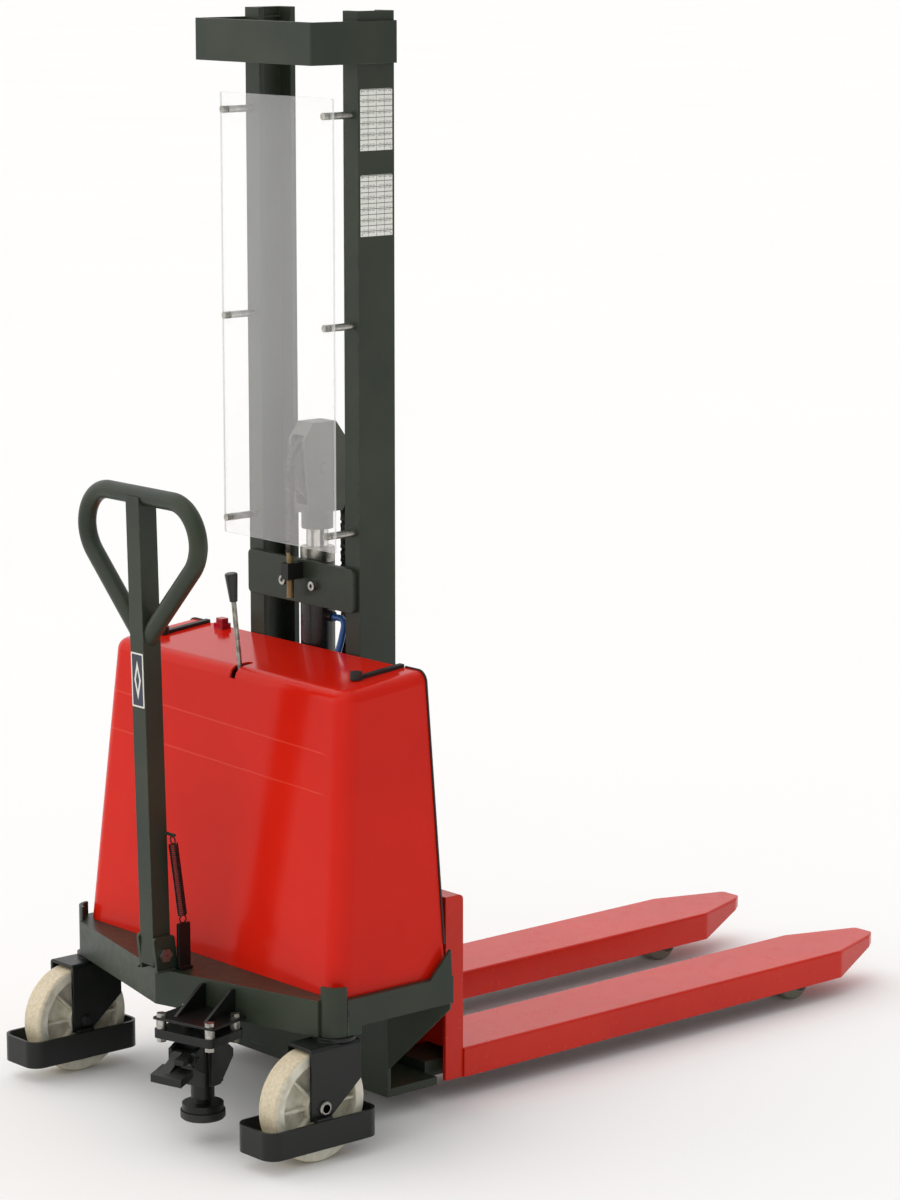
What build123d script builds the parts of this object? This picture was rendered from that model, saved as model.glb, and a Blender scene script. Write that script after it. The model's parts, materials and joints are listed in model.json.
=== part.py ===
"""Walkie stacker: a hand-pushed stacker truck with a battery-hydraulic mast lift.

Frame: +X to the operator's right, +Y along the forks, +Z up, millimetres.
The origin is on the floor, under the middle of the truck's overall box.
"""

import os
from math import atan2, cos, degrees, hypot, radians, sin, tan

from build123d import *

os.makedirs("parts", exist_ok=True)

# ---------------------------------------------------------------- driving dimensions
mast_height = 1970.0  # floor to the top of the uprights
fork_length = 1150.0
fork_spread = 540.0  # over the outer sides of both forks
fork_width = 160.0
fork_top = 95.0  # lowered fork height
chassis_depth = 499.0  # fork heel back to the apex of the deck
lock_reach = 121.0  # deck apex back to the edge of the floor-lock pedal
deck_width = 770.0
deck_top = 281.0
ground_gap = 40.0  # floor to the base plate and the fork sides

castor_diameter = 200.0
castor_trail = 54.0
load_wheel_diameter = 80.0

mast_width = 316.0
mast_depth = 83.0
mast_flange = 40.0
web = 9.0
flange = 11.0

hood_base_width = 742.0
hood_top_width = 680.0
hood_top_front = 812.0  # height of the hood's top at its front edge
hood_top_rear = 828.0
hood_wall = 4.0

ram_bore = 51.0
ram_wall = 6.0
rod_diameter = 40.0
sheave_pitch_radius = 64.0

handle_height = 1155.0
handle_half_width = 179.0
handle_tube = 33.0
drawbar_side = 38.0

seat_gap = 0.3  # between pieces that move past or sit on each other
run_gap = 0.05  # radial clearance of a turning or sliding fit

# ---------------------------------------------------------------- main stations along Y
overall_length = fork_length + chassis_depth + lock_reach
y_tip = overall_length / 2
y_heel = y_tip - fork_length
y_apex = y_heel - chassis_depth
mast_setback = 68.0
y_mast_front = y_heel - mast_setback
y_mast_rear = y_mast_front - mast_depth
wall_setback = 35.0
y_wall = y_mast_rear - wall_setback  # rear face of the base wall
y_castor = y_apex + 127.0  # swivel axes
castor_x = 352.0
post_radius = 33.0
load_wheel_setback = 230.0
y_load = y_tip - load_wheel_setback
fork_x = (fork_spread - fork_width) / 2
ram_radius = ram_bore / 2 + ram_wall
ram_y = y_mast_rear + ram_radius + seat_gap
wheel_z = castor_diameter / 2

sides = {"left": -1, "right": 1}


# ================================================================ chassis
# Deck: a pentagonal plate with a deep rim, cut away behind for the mast.
deck_plate = 5.0
beam_height = 65.0
skirt_height = 50.0
rim_wall = 6.0
beam_slope = 14.0
half_deck = deck_width / 2
corner_cut = 30.0
y_corner = y_apex + (half_deck - corner_cut) * tan(radians(beam_slope))
y_skirt_rear = y_mast_front - 59.0
notch_half = 272.0
deck_outline = [
    (0, y_apex),
    (half_deck - corner_cut, y_corner),
    (half_deck, y_corner + corner_cut),
    (half_deck, y_skirt_rear),
    (notch_half, y_wall + 8),
    (-notch_half, y_wall + 8),
    (-half_deck, y_skirt_rear),
    (-half_deck, y_corner + corner_cut),
    (-half_deck + corner_cut, y_corner),
]
ear_height = 49.0
ear_run = 53.0
post_bottom = deck_top - beam_height
skirt_bottom = deck_top - skirt_height

with BuildPart() as deck:
    with BuildSketch(Plane.XY.offset(deck_top - deck_plate)):
        Polygon(*deck_outline, align=None)
    extrude(amount=deck_plate)
    with BuildSketch(Plane.XY.offset(deck_top - beam_height)):
        Polygon(*deck_outline, align=None)
        offset(amount=-rim_wall, mode=Mode.SUBTRACT)
    extrude(amount=beam_height - deck_plate)
    # The side skirts are shallower than the slanted front beams.
    with BuildSketch(Plane.XY.offset(deck_top - beam_height)):
        with Locations((0, (y_castor + y_mast_front) / 2 + post_radius)):
            Rectangle(deck_width + 2, y_mast_front - y_castor)
    extrude(amount=beam_height - skirt_height, mode=Mode.SUBTRACT)
    # Triangular ears at the rear of each skirt hold the hood's lower corners.
    for side in sides.values():
        with BuildSketch(Plane.YZ.offset(side * half_deck)):
            Polygon(
                (y_skirt_rear - ear_run, deck_top),
                (y_skirt_rear - rim_wall, deck_top + ear_height),
                (y_skirt_rear, deck_top - skirt_height),
                (y_skirt_rear - ear_run, deck_top - skirt_height),
                align=None,
            )
        extrude(amount=-side * rim_wall)
    # Castor posts stand in the two rounded corners.
    with Locations(*[(side * castor_x, y_castor, deck_top) for side in sides.values()]):
        Cylinder(post_radius, 4 * beam_height, mode=Mode.SUBTRACT)
    for side in sides.values():
        with Locations((side * (castor_x + post_radius), y_castor - post_radius, deck_top)):
            Box(2 * post_radius, 2 * post_radius, 4 * beam_height, mode=Mode.SUBTRACT)
deck.part.label = "chassis_deck"
export_step(deck.part, "parts/chassis_deck.step")

# Castor posts: a tube with the king-pin bore; its outer half stands above the deck
# as a clip around the hood's corner.
king_pin = 30.0
clip_height = 25.0
clip_wall = 6.0
with BuildPart() as posts:
    for side in sides.values():
        with BuildSketch(Plane.XY.offset(post_bottom)):
            with Locations((side * castor_x, y_castor)):
                Circle(post_radius)
        extrude(amount=beam_height + clip_height)
        with BuildSketch(Plane.XY.offset(deck_top)):
            with Locations((side * castor_x, y_castor)):
                Circle(post_radius - clip_wall)
            with Locations((side * (castor_x - post_radius), y_castor)):
                Rectangle(2 * post_radius, 4 * post_radius)
            with Locations((side * castor_x, y_castor + post_radius)):
                Rectangle(4 * post_radius, 2 * post_radius)
        extrude(amount=clip_height, mode=Mode.SUBTRACT)
        with Locations((side * castor_x, y_castor, post_bottom)):
            Cylinder(king_pin / 2 + run_gap, 2 * (beam_height - deck_plate), mode=Mode.SUBTRACT)
posts.part.label = "castor_posts"
export_step(posts.part, "parts/castor_posts.step")

# Base plate: ties the mast feet, the wall and the straddle legs together.
base_thick = 15.0
base_top = ground_gap + base_thick
wall_thick = 8.0
with BuildPart() as base_plate:
    with BuildSketch(Plane.XY.offset(ground_gap)):
        with Locations((0, (y_wall + y_mast_front) / 2)):
            Rectangle(2 * notch_half, y_mast_front - y_wall)
    extrude(amount=base_thick)
base_plate.part.label = "base_plate"
export_step(base_plate.part, "parts/base_plate.step")

# Base wall: an upright plate across the chassis, with oblique wings out to the skirts.
wing_dx = half_deck - rim_wall - notch_half
wing_dy = y_skirt_rear - y_wall - wall_thick
wing_run = hypot(wing_dx, wing_dy)
wing_lip = 35.0
wing_tip = 12.0
wing_root = 4.0  # overlap with the wall's end
with BuildPart() as base_wall:
    with BuildSketch(Plane.XZ.offset(-y_wall)):
        with Locations((0, (base_top + skirt_bottom) / 2)):
            Rectangle(2 * notch_half, skirt_bottom - base_top)
    extrude(amount=-wall_thick)
    for side in sides.values():
        wing_plane = Plane(
            origin=(side * notch_half, y_wall + wall_thick, 0),
            x_dir=(side * wing_dx, wing_dy, 0),
            z_dir=(side * wing_dy, -wing_dx, 0),
        )
        with BuildSketch(wing_plane):
            Polygon(
                (-wing_root, side * (base_top + wing_lip)),
                (-wing_root, side * skirt_bottom),
                (wing_run, side * skirt_bottom),
                (wing_run, side * (skirt_bottom - wing_tip)),
                align=None,
            )
        extrude(amount=rim_wall)
base_wall.part.label = "base_wall"
export_step(base_wall.part, "parts/base_wall.step")

# Straddle legs: low box rails that stay on the floor inside the forks.
leg_width = 96.0
leg_height = 33.0
leg_rise = 2.0
wheel_slot = 68.0
wheel_clear = 8.0
axle_radius = 10.0
load_radius = load_wheel_diameter / 2
leg_nose = 46.0
with BuildPart() as legs:
    for side in sides.values():
        with BuildSketch(Plane.XY.offset(base_top)):
            with Locations((side * fork_x, (y_mast_front + y_load + leg_nose) / 2)):
                Rectangle(leg_width, y_load + leg_nose - y_mast_front)
        extrude(amount=leg_height - base_thick + leg_rise)
        with BuildSketch(Plane.XY.offset(ground_gap + leg_rise)):
            with Locations((side * fork_x, (y_mast_front + y_load) / 2)):
                Rectangle(leg_width - 2 * rim_wall, y_load - y_mast_front)
        extrude(amount=base_thick - leg_rise)
        # The load wheel turns in a slot through the front end, on a fixed axle.
        with Locations((side * fork_x, y_load, load_radius)):
            with Locations(Rot(0, 90, 0)):
                Cylinder(load_radius / 2 - 1, leg_width)
            Box(wheel_slot, 2 * (load_radius + wheel_clear), 4 * leg_height, mode=Mode.SUBTRACT)
            with Locations(Rot(0, 90, 0)):
                Cylinder(axle_radius, leg_width)
legs.part.label = "straddle_legs"
export_step(legs.part, "parts/straddle_legs.step")

# Load wheels: nylon rollers that turn on the axles.
wheel_width = wheel_slot - 2 * 3
for name, side in sides.items():
    with BuildPart() as load_wheel:
        with Locations((side * fork_x, y_load, load_radius)):
            with Locations(Rot(0, 90, 0)):
                Cylinder(load_radius, wheel_width)
                Cylinder(axle_radius + run_gap, 2 * wheel_width, mode=Mode.SUBTRACT)
        rims = load_wheel.edges().filter_by(GeomType.CIRCLE).filter_by(
            lambda edge: edge.radius > load_radius - 1
        )
        fillet(rims, 4)
    load_wheel.part.label = f"load_wheel_{name}"
    export_step(load_wheel.part, f"parts/load_wheel_{name}.step")

# ================================================================ mast
# Uprights: channels that open towards each other and guide the carriage rollers.
upright_x = mast_width / 2
for name, side in sides.items():
    with BuildPart() as upright:
        with BuildSketch(Plane.XY.offset(base_top)):
            with Locations((side * (upright_x - mast_flange / 2), (y_mast_front + y_mast_rear) / 2)):
                Rectangle(mast_flange, mast_depth)
            with Locations((side * (upright_x - web - mast_flange / 2), (y_mast_front + y_mast_rear) / 2)):
                Rectangle(mast_flange, mast_depth - 2 * flange, mode=Mode.SUBTRACT)
        extrude(amount=mast_height - base_top)
    upright.part.label = f"mast_upright_{name}"
    export_step(upright.part, f"parts/mast_upright_{name}.step")

# Crossbeam: a plate across the rear flanges that steadies the ram.
beam_bottom = 905.0
beam_top = 985.0
beam_thick = 10.0
beam_half = 151.0
bolt_x = 42.0
bolt_hole = 5.0
bolt_z = 942.0
with BuildPart() as crossbeam:
    with BuildSketch(Plane.XZ.offset(-y_mast_rear)):
        with Locations((0, (beam_bottom + beam_top) / 2)):
            RectangleRounded(2 * beam_half, beam_top - beam_bottom, 9)
        with Locations((-bolt_x, bolt_z), (bolt_x, bolt_z)):
            Circle(bolt_hole, mode=Mode.SUBTRACT)
    extrude(amount=beam_thick)
crossbeam.part.label = "mast_crossbeam"
export_step(crossbeam.part, "parts/mast_crossbeam.step")

# Ram clamp: a saddle block and strap that hold the cylinder to the crossbeam.
clamp_height = 40.0
clamp_half = 56.0
clamp_front = 14.0
with BuildPart() as clamp:
    with BuildSketch(Plane.XY.offset(bolt_z - clamp_height / 2)):
        with Locations((0, (y_mast_rear + ram_y + ram_radius + clamp_front) / 2)):
            RectangleRounded(2 * clamp_half, ram_y + ram_radius + clamp_front - y_mast_rear, 4)
        with Locations((0, ram_y)):
            Circle(ram_radius, mode=Mode.SUBTRACT)
        with Locations((0, y_mast_rear)):
            Rectangle(2 * ram_radius - 8, 2 * ram_radius / 2, mode=Mode.SUBTRACT)
    extrude(amount=clamp_height)
    with Locations(*[(x, y_mast_rear, bolt_z) for x in (-bolt_x, bolt_x)]):
        with Locations(Rot(90, 0, 0)):
            Cylinder(bolt_hole, 60, mode=Mode.SUBTRACT)
clamp.part.label = "ram_clamp"
export_step(clamp.part, "parts/ram_clamp.step")

# Crossbeam bolts: two socket-head screws through the plate into the clamp.
head_radius = 8.5
head_height = 9.0
socket_radius = 4.2
with BuildPart() as beam_bolts:
    for x in (-bolt_x, bolt_x):
        with BuildSketch(Plane.XZ.offset(-(y_mast_rear - beam_thick))):
            with Locations((x, bolt_z)):
                Circle(head_radius)
        extrude(amount=head_height)
        with BuildSketch(Plane.XZ.offset(-(y_mast_rear - beam_thick))):
            with Locations((x, bolt_z)):
                Circle(bolt_hole)
        extrude(amount=-(beam_thick + 28))
        with BuildSketch(Plane.XZ.offset(-(y_mast_rear - beam_thick - head_height))):
            with Locations((x, bolt_z)):
                RegularPolygon(socket_radius, 6)
        extrude(amount=-head_height * 0.6, mode=Mode.SUBTRACT)
beam_bolts.part.label = "crossbeam_bolts"
export_step(beam_bolts.part, "parts/crossbeam_bolts.step")

# Top frame: a U of flat bar that joins the uprights and shields the raised ram.
frame_bottom = 1879.0
frame_top = 1953.0
frame_bar = 8.0
y_frame_rear = y_mast_rear - 109.0
frame_half = upright_x + frame_bar
with BuildPart() as top_frame:
    with BuildSketch(Plane.XY.offset(frame_bottom)):
        with Locations((0, (y_frame_rear + y_mast_front) / 2)):
            Rectangle(2 * frame_half, y_mast_front - y_frame_rear)
        with Locations((0, (y_frame_rear + frame_bar + y_mast_front) / 2 + 1)):
            Rectangle(2 * upright_x, y_mast_front - y_frame_rear - frame_bar + 2, mode=Mode.SUBTRACT)
    extrude(amount=frame_top - frame_bottom)
    fillet(top_frame.edges().filter_by(Axis.Z).group_by(Axis.Y)[0], 6)
top_frame.part.label = "mast_top_frame"
export_step(top_frame.part, "parts/mast_top_frame.step")

# Guard screen: a clear sheet between the operator and the lifting chain.
screen_width = 318.0
screen_bottom = 1021.0
screen_top = 1821.0
screen_thick = 4.0
y_screen = y_mast_rear - 54.0
peg_x = 143.0
peg_radius = 4.0
peg_levels = (1050.0, 1420.0, 1790.0)
peg_places = [(x, z) for x in (-peg_x, peg_x) for z in peg_levels]
cap_radius = 6.5
cap_length = 9.0
with BuildPart() as screen:
    with BuildSketch(Plane.XZ.offset(-y_screen)):
        with Locations((0, (screen_bottom + screen_top) / 2)):
            RectangleRounded(screen_width, screen_top - screen_bottom, 4)
        with Locations(*peg_places):
            Circle(peg_radius, mode=Mode.SUBTRACT)
    extrude(amount=screen_thick)
screen.part.label = "guard_screen"
export_step(screen.part, "parts/guard_screen.step")

# Standoffs: six pegs from the rear flanges through the sheet, with steel end caps.
with BuildPart() as pegs:
    with BuildSketch(Plane.XZ.offset(-y_mast_rear)):
        with Locations(*peg_places):
            Circle(peg_radius)
    extrude(amount=y_mast_rear - y_screen + screen_thick)
    with BuildSketch(Plane.XZ.offset(-y_mast_rear)):
        with Locations(*peg_places):
            Circle(cap_radius)
            Circle(peg_radius, mode=Mode.SUBTRACT)
    extrude(amount=y_mast_rear - y_screen)
    # Each peg ends in a steel cap that holds the sheet.
    with BuildSketch(Plane.XZ.offset(-(y_screen - screen_thick))):
        with Locations(*peg_places):
            Circle(cap_radius)
    extrude(amount=cap_length)
pegs.part.label = "guard_standoffs"
export_step(pegs.part, "parts/guard_standoffs.step")

# ================================================================ ram and chain
# Cylinder: stands on the base plate; a gland nut guides the rod.
gland_top = 1005.0
gland_height = 26.0
hose_radius = 6.0
port_z = 880.0
port_reach = 14.0
with BuildPart() as ram:
    with BuildSketch(Plane.XY.offset(base_top)):
        with Locations((0, ram_y)):
            Circle(ram_radius)
    extrude(amount=gland_top - gland_height - base_top)
    with BuildSketch(Plane.XY.offset(base_top + 20)):
        with Locations((0, ram_y)):
            Circle(ram_bore / 2)
    extrude(amount=gland_top, mode=Mode.SUBTRACT)
    # Hexagonal port for the return hose.
    with BuildSketch(Plane.YZ.offset(ram_radius - ram_wall / 2)):
        with Locations((ram_y, port_z)):
            RegularPolygon(hose_radius + 4, 6)
    extrude(amount=port_reach + ram_wall / 2)
ram.part.label = "ram_cylinder"
export_step(ram.part, "parts/ram_cylinder.step")

with BuildPart() as gland:
    with BuildSketch(Plane.XY.offset(gland_top - gland_height)):
        with Locations((0, ram_y)):
            Circle(ram_radius)
            Circle(rod_diameter / 2 + run_gap, mode=Mode.SUBTRACT)
    extrude(amount=gland_height)
    chamfer(gland.edges().group_by(Axis.Z)[-1].sort_by(SortBy.RADIUS)[-1], 2)
gland.part.label = "ram_gland"
export_step(gland.part, "parts/ram_gland.step")

# Sheave head: cheeks over the chain wheel, carried by a collar on the rod.
head_bottom = 1039.0
collar_height = 30.0
collar_radius = 29.0
rod_foot = 110.0
head_half = 22.0
cheek = 6.0
sheave_z = 1150.0
sheave_y = ram_y
chain_width = 16.0
chain_thick = 12.0
chain_outer = sheave_pitch_radius + chain_thick / 2
head_top = 1234.0
pin_radius = 10.0
with BuildPart() as rod:
    with BuildSketch(Plane.XY.offset(rod_foot)):
        with Locations((0, ram_y)):
            Circle(rod_diameter / 2)
    extrude(amount=head_bottom - rod_foot)
    with BuildSketch(Plane.XY.offset(rod_foot)):
        with Locations((0, ram_y)):
            Circle(ram_bore / 2 - run_gap)
    extrude(amount=40)
rod.part.label = "piston_rod"
export_step(rod.part, "parts/piston_rod.step")

with BuildPart() as head:
    with BuildSketch(Plane.XY.offset(head_bottom)):
        with Locations((0, ram_y)):
            Circle(collar_radius)
    extrude(amount=collar_height)
    with BuildSketch(Plane.YZ.offset(-head_half)):
        Polygon(
            (sheave_y - 34, head_bottom + collar_height),
            (sheave_y + 42, head_bottom + collar_height),
            (sheave_y + 70, sheave_z - 30),
            (sheave_y + 70, sheave_z + 26),
            (sheave_y + 27, head_top),
            (sheave_y - 26, head_top),
            (sheave_y - 48, sheave_z + 52),
            align=None,
        )
    extrude(amount=2 * head_half)
    # Slot for the wheel and its chain, open to the front and rear.
    with BuildSketch(Plane.YZ.offset(-head_half + cheek)):
        with Locations((sheave_y, sheave_z)):
            Circle(chain_outer + 4)
            with Locations((chain_outer, -chain_outer), (-chain_outer, -chain_outer)):
                Rectangle(2 * (chain_thick + 8), 2 * chain_outer)
    extrude(amount=2 * (head_half - cheek), mode=Mode.SUBTRACT)
    # The wheel's pin crosses both cheeks.
    with Locations((0, sheave_y, sheave_z)):
        with Locations(Rot(0, 90, 0)):
            Cylinder(pin_radius, 2 * head_half + 4)
head.part.label = "sheave_head"
export_step(head.part, "parts/sheave_head.step")

with BuildPart() as sheave:
    with Locations((0, sheave_y, sheave_z)):
        with Locations(Rot(0, 90, 0)):
            Cylinder(sheave_pitch_radius - chain_thick / 2 - seat_gap, chain_width)
            Cylinder(pin_radius + run_gap, 2 * chain_width, mode=Mode.SUBTRACT)
sheave.part.label = "chain_sheave"
export_step(sheave.part, "parts/chain_sheave.step")

# Lift chain: a leaf chain from the anchor, over the wheel, down to the carriage.
anchor_radius = 6.5
anchor_top = 1000.0
y_chain_rear = sheave_y - sheave_pitch_radius
y_chain_front = sheave_y + sheave_pitch_radius
lug_bottom = 200.0
lug_top = 232.0
with BuildPart() as chain_rear:
    with BuildSketch(Plane.XY.offset(anchor_top)):
        with Locations((0, y_chain_rear)):
            Rectangle(chain_width, chain_thick)
    extrude(amount=sheave_z - anchor_top)
chain_rear.part.label = "lift_chain_rear"
export_step(chain_rear.part, "parts/lift_chain_rear.step")

with BuildPart() as chain_front:
    with BuildSketch(Plane.XY.offset(lug_top)):
        with Locations((0, y_chain_front)):
            Rectangle(chain_width, chain_thick)
    extrude(amount=sheave_z - lug_top)
chain_front.part.label = "lift_chain_front"
export_step(chain_front.part, "parts/lift_chain_front.step")

with BuildPart() as chain_wrap:
    with BuildSketch(Plane.YZ.offset(-chain_width / 2)):
        with Locations((sheave_y, sheave_z)):
            Circle(chain_outer)
            Circle(chain_outer - chain_thick, mode=Mode.SUBTRACT)
            with Locations((0, -chain_outer)):
                Rectangle(4 * chain_outer, 2 * chain_outer, mode=Mode.SUBTRACT)
    extrude(amount=chain_width)
chain_wrap.part.label = "lift_chain_wrap"
export_step(chain_wrap.part, "parts/lift_chain_wrap.step")

# Chain anchor: a block on the crossbeam with a threaded rod up to the chain's end.
anchor_width = 20.0
anchor_block = 30.0
with BuildPart() as anchor:
    with BuildSketch(Plane.XZ.offset(-(y_mast_rear - beam_thick))):
        with Locations((0, beam_top - anchor_block / 2 - 4)):
            Rectangle(anchor_width, anchor_block)
    extrude(amount=y_mast_rear - beam_thick - y_chain_rear + 13)
    with BuildSketch(Plane.XY.offset(beam_bottom + 12)):
        with Locations((0, y_chain_rear)):
            Circle(anchor_radius)
    extrude(amount=anchor_top - beam_bottom - 12)
anchor.part.label = "chain_anchor"
export_step(anchor.part, "parts/chain_anchor.step")

# ================================================================ carriage and forks
carriage_top = 385.0
carriage_depth = 42.0
carriage_half = fork_spread / 2 - 4
skin = 8.0
fork_side = 6.0
fork_plate = 7.0
leg_gap = 8.0
arm_inner = 98.0
arm_thick = 12.0
arm_bottom = 62.0
roller_radius = mast_depth / 2 - flange - seat_gap
roller_width = 26.0
roller_levels = {"lower": 115.0, "upper": 345.0}
y_roller = (y_mast_front + y_mast_rear) / 2
y_carriage_rear = y_heel - carriage_depth
roller_gap = 2.0
roller_x = arm_inner + arm_thick + 8 + roller_gap + roller_width / 2
roller_bore = 10.0
lug_half = 14.0
with BuildPart() as carriage:
    with BuildSketch(Plane.XY.offset(ground_gap)):
        with Locations((0, y_heel - carriage_depth / 2)):
            Rectangle(2 * carriage_half, carriage_depth)
    extrude(amount=carriage_top - ground_gap)
    top_edges = carriage.edges().filter_by(Axis.X).group_by(Axis.Z)[-1]
    fillet(top_edges.sort_by(Axis.Y)[-1], 10)
    with BuildSketch(Plane.XY.offset(ground_gap)):
        with Locations((0, y_carriage_rear)):
            Rectangle(2 * (carriage_half - skin), 2 * (carriage_depth - skin))
    extrude(amount=carriage_top - skin - ground_gap, mode=Mode.SUBTRACT)
    # Notches that let the straddle legs pass under the front plate.
    for side in sides.values():
        with BuildSketch(Plane.XZ.offset(-y_heel - 1)):
            with Locations((side * fork_x, ground_gap)):
                Rectangle(leg_width + 2 * leg_gap, 2 * (fork_top - fork_plate - ground_gap))
        extrude(amount=carriage_depth, mode=Mode.SUBTRACT)
        # Arms reach back between the uprights and carry the rollers.
        with BuildSketch(Plane.YZ.offset(side * arm_inner)):
            Polygon(
                (y_heel - skin, arm_bottom),
                (y_heel - skin, carriage_top - skin),
                (y_roller - roller_radius * 0.7, carriage_top - skin),
                (y_roller - roller_radius * 0.7, arm_bottom),
                align=None,
            )
        extrude(amount=side * arm_thick)
        for level in roller_levels.values():
            with BuildSketch(Plane.YZ.offset(side * arm_inner)):
                with Locations((y_roller, level)):
                    Circle(roller_bore)
            extrude(amount=side * (roller_x + roller_width / 2 - arm_inner))
    # Lug for the lower end of the chain.
    with Locations((0, (y_heel - skin + y_chain_front - chain_thick / 2 - 2) / 2, (lug_bottom + lug_top) / 2)):
        Box(2 * lug_half, y_heel - skin - y_chain_front + chain_thick / 2 + 2, lug_top - lug_bottom)
carriage.part.label = "carriage_frame"
export_step(carriage.part, "parts/carriage_frame.step")

# Forks: inverted channels whose noses taper in plan and rise underneath.
nose_length = 150.0
nose_half = 22.0
nose_lift = 36.0
half_fork = fork_width / 2
for name, side in sides.items():
    with BuildPart() as fork:
        with BuildSketch(Plane.XY.offset(ground_gap)) as fork_outline:
            with Locations((side * fork_x, 0)):
                Polygon(
                    (-half_fork, y_heel),
                    (half_fork, y_heel),
                    (half_fork, y_tip - nose_length),
                    (nose_half + 14, y_tip - 22),
                    (nose_half, y_tip),
                    (-nose_half, y_tip),
                    (-nose_half - 14, y_tip - 22),
                    (-half_fork, y_tip - nose_length),
                    align=None,
                )
            fillet(fork_outline.vertices().group_by(Axis.Y)[1:-2], 30)
            fillet(fork_outline.vertices().group_by(Axis.Y)[-1], 12)
        extrude(amount=fork_top - ground_gap)
        with BuildSketch(Plane.XY.offset(ground_gap)):
            with Locations((side * fork_x, 0)):
                Polygon(
                    (-half_fork + fork_side, y_heel),
                    (half_fork - fork_side, y_heel),
                    (half_fork - fork_side, y_tip - nose_length),
                    (nose_half, y_tip - 50),
                    (-nose_half, y_tip - 50),
                    (-half_fork + fork_side, y_tip - nose_length),
                    align=None,
                )
        extrude(amount=fork_top - fork_plate - ground_gap, mode=Mode.SUBTRACT)
        with BuildSketch(Plane.YZ.offset(side * fork_x - fork_width)):
            Polygon(
                (y_tip - nose_length, ground_gap),
                (y_tip + 1, ground_gap + nose_lift),
                (y_tip + 1, ground_gap - 1),
                (y_tip - nose_length, ground_gap - 1),
                align=None,
            )
        extrude(amount=2 * fork_width, mode=Mode.SUBTRACT)
        fillet(fork.faces().sort_by(Axis.Z)[-1].edges().filter_by(Axis.Y), 5)
    fork.part.label = f"fork_{name}"
    export_step(fork.part, f"parts/fork_{name}.step")

# Carriage rollers: one pair turns in the channels at each level.
for name, level in roller_levels.items():
    with BuildPart() as rollers:
        for side in sides.values():
            with Locations((side * roller_x, y_roller, level)):
                with Locations(Rot(0, 90, 0)):
                    Cylinder(roller_radius, roller_width)
                    Cylinder(roller_bore + run_gap, 2 * roller_width, mode=Mode.SUBTRACT)
    rollers.part.label = f"carriage_rollers_{name}"
    export_step(rollers.part, f"parts/carriage_rollers_{name}.step")

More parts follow.
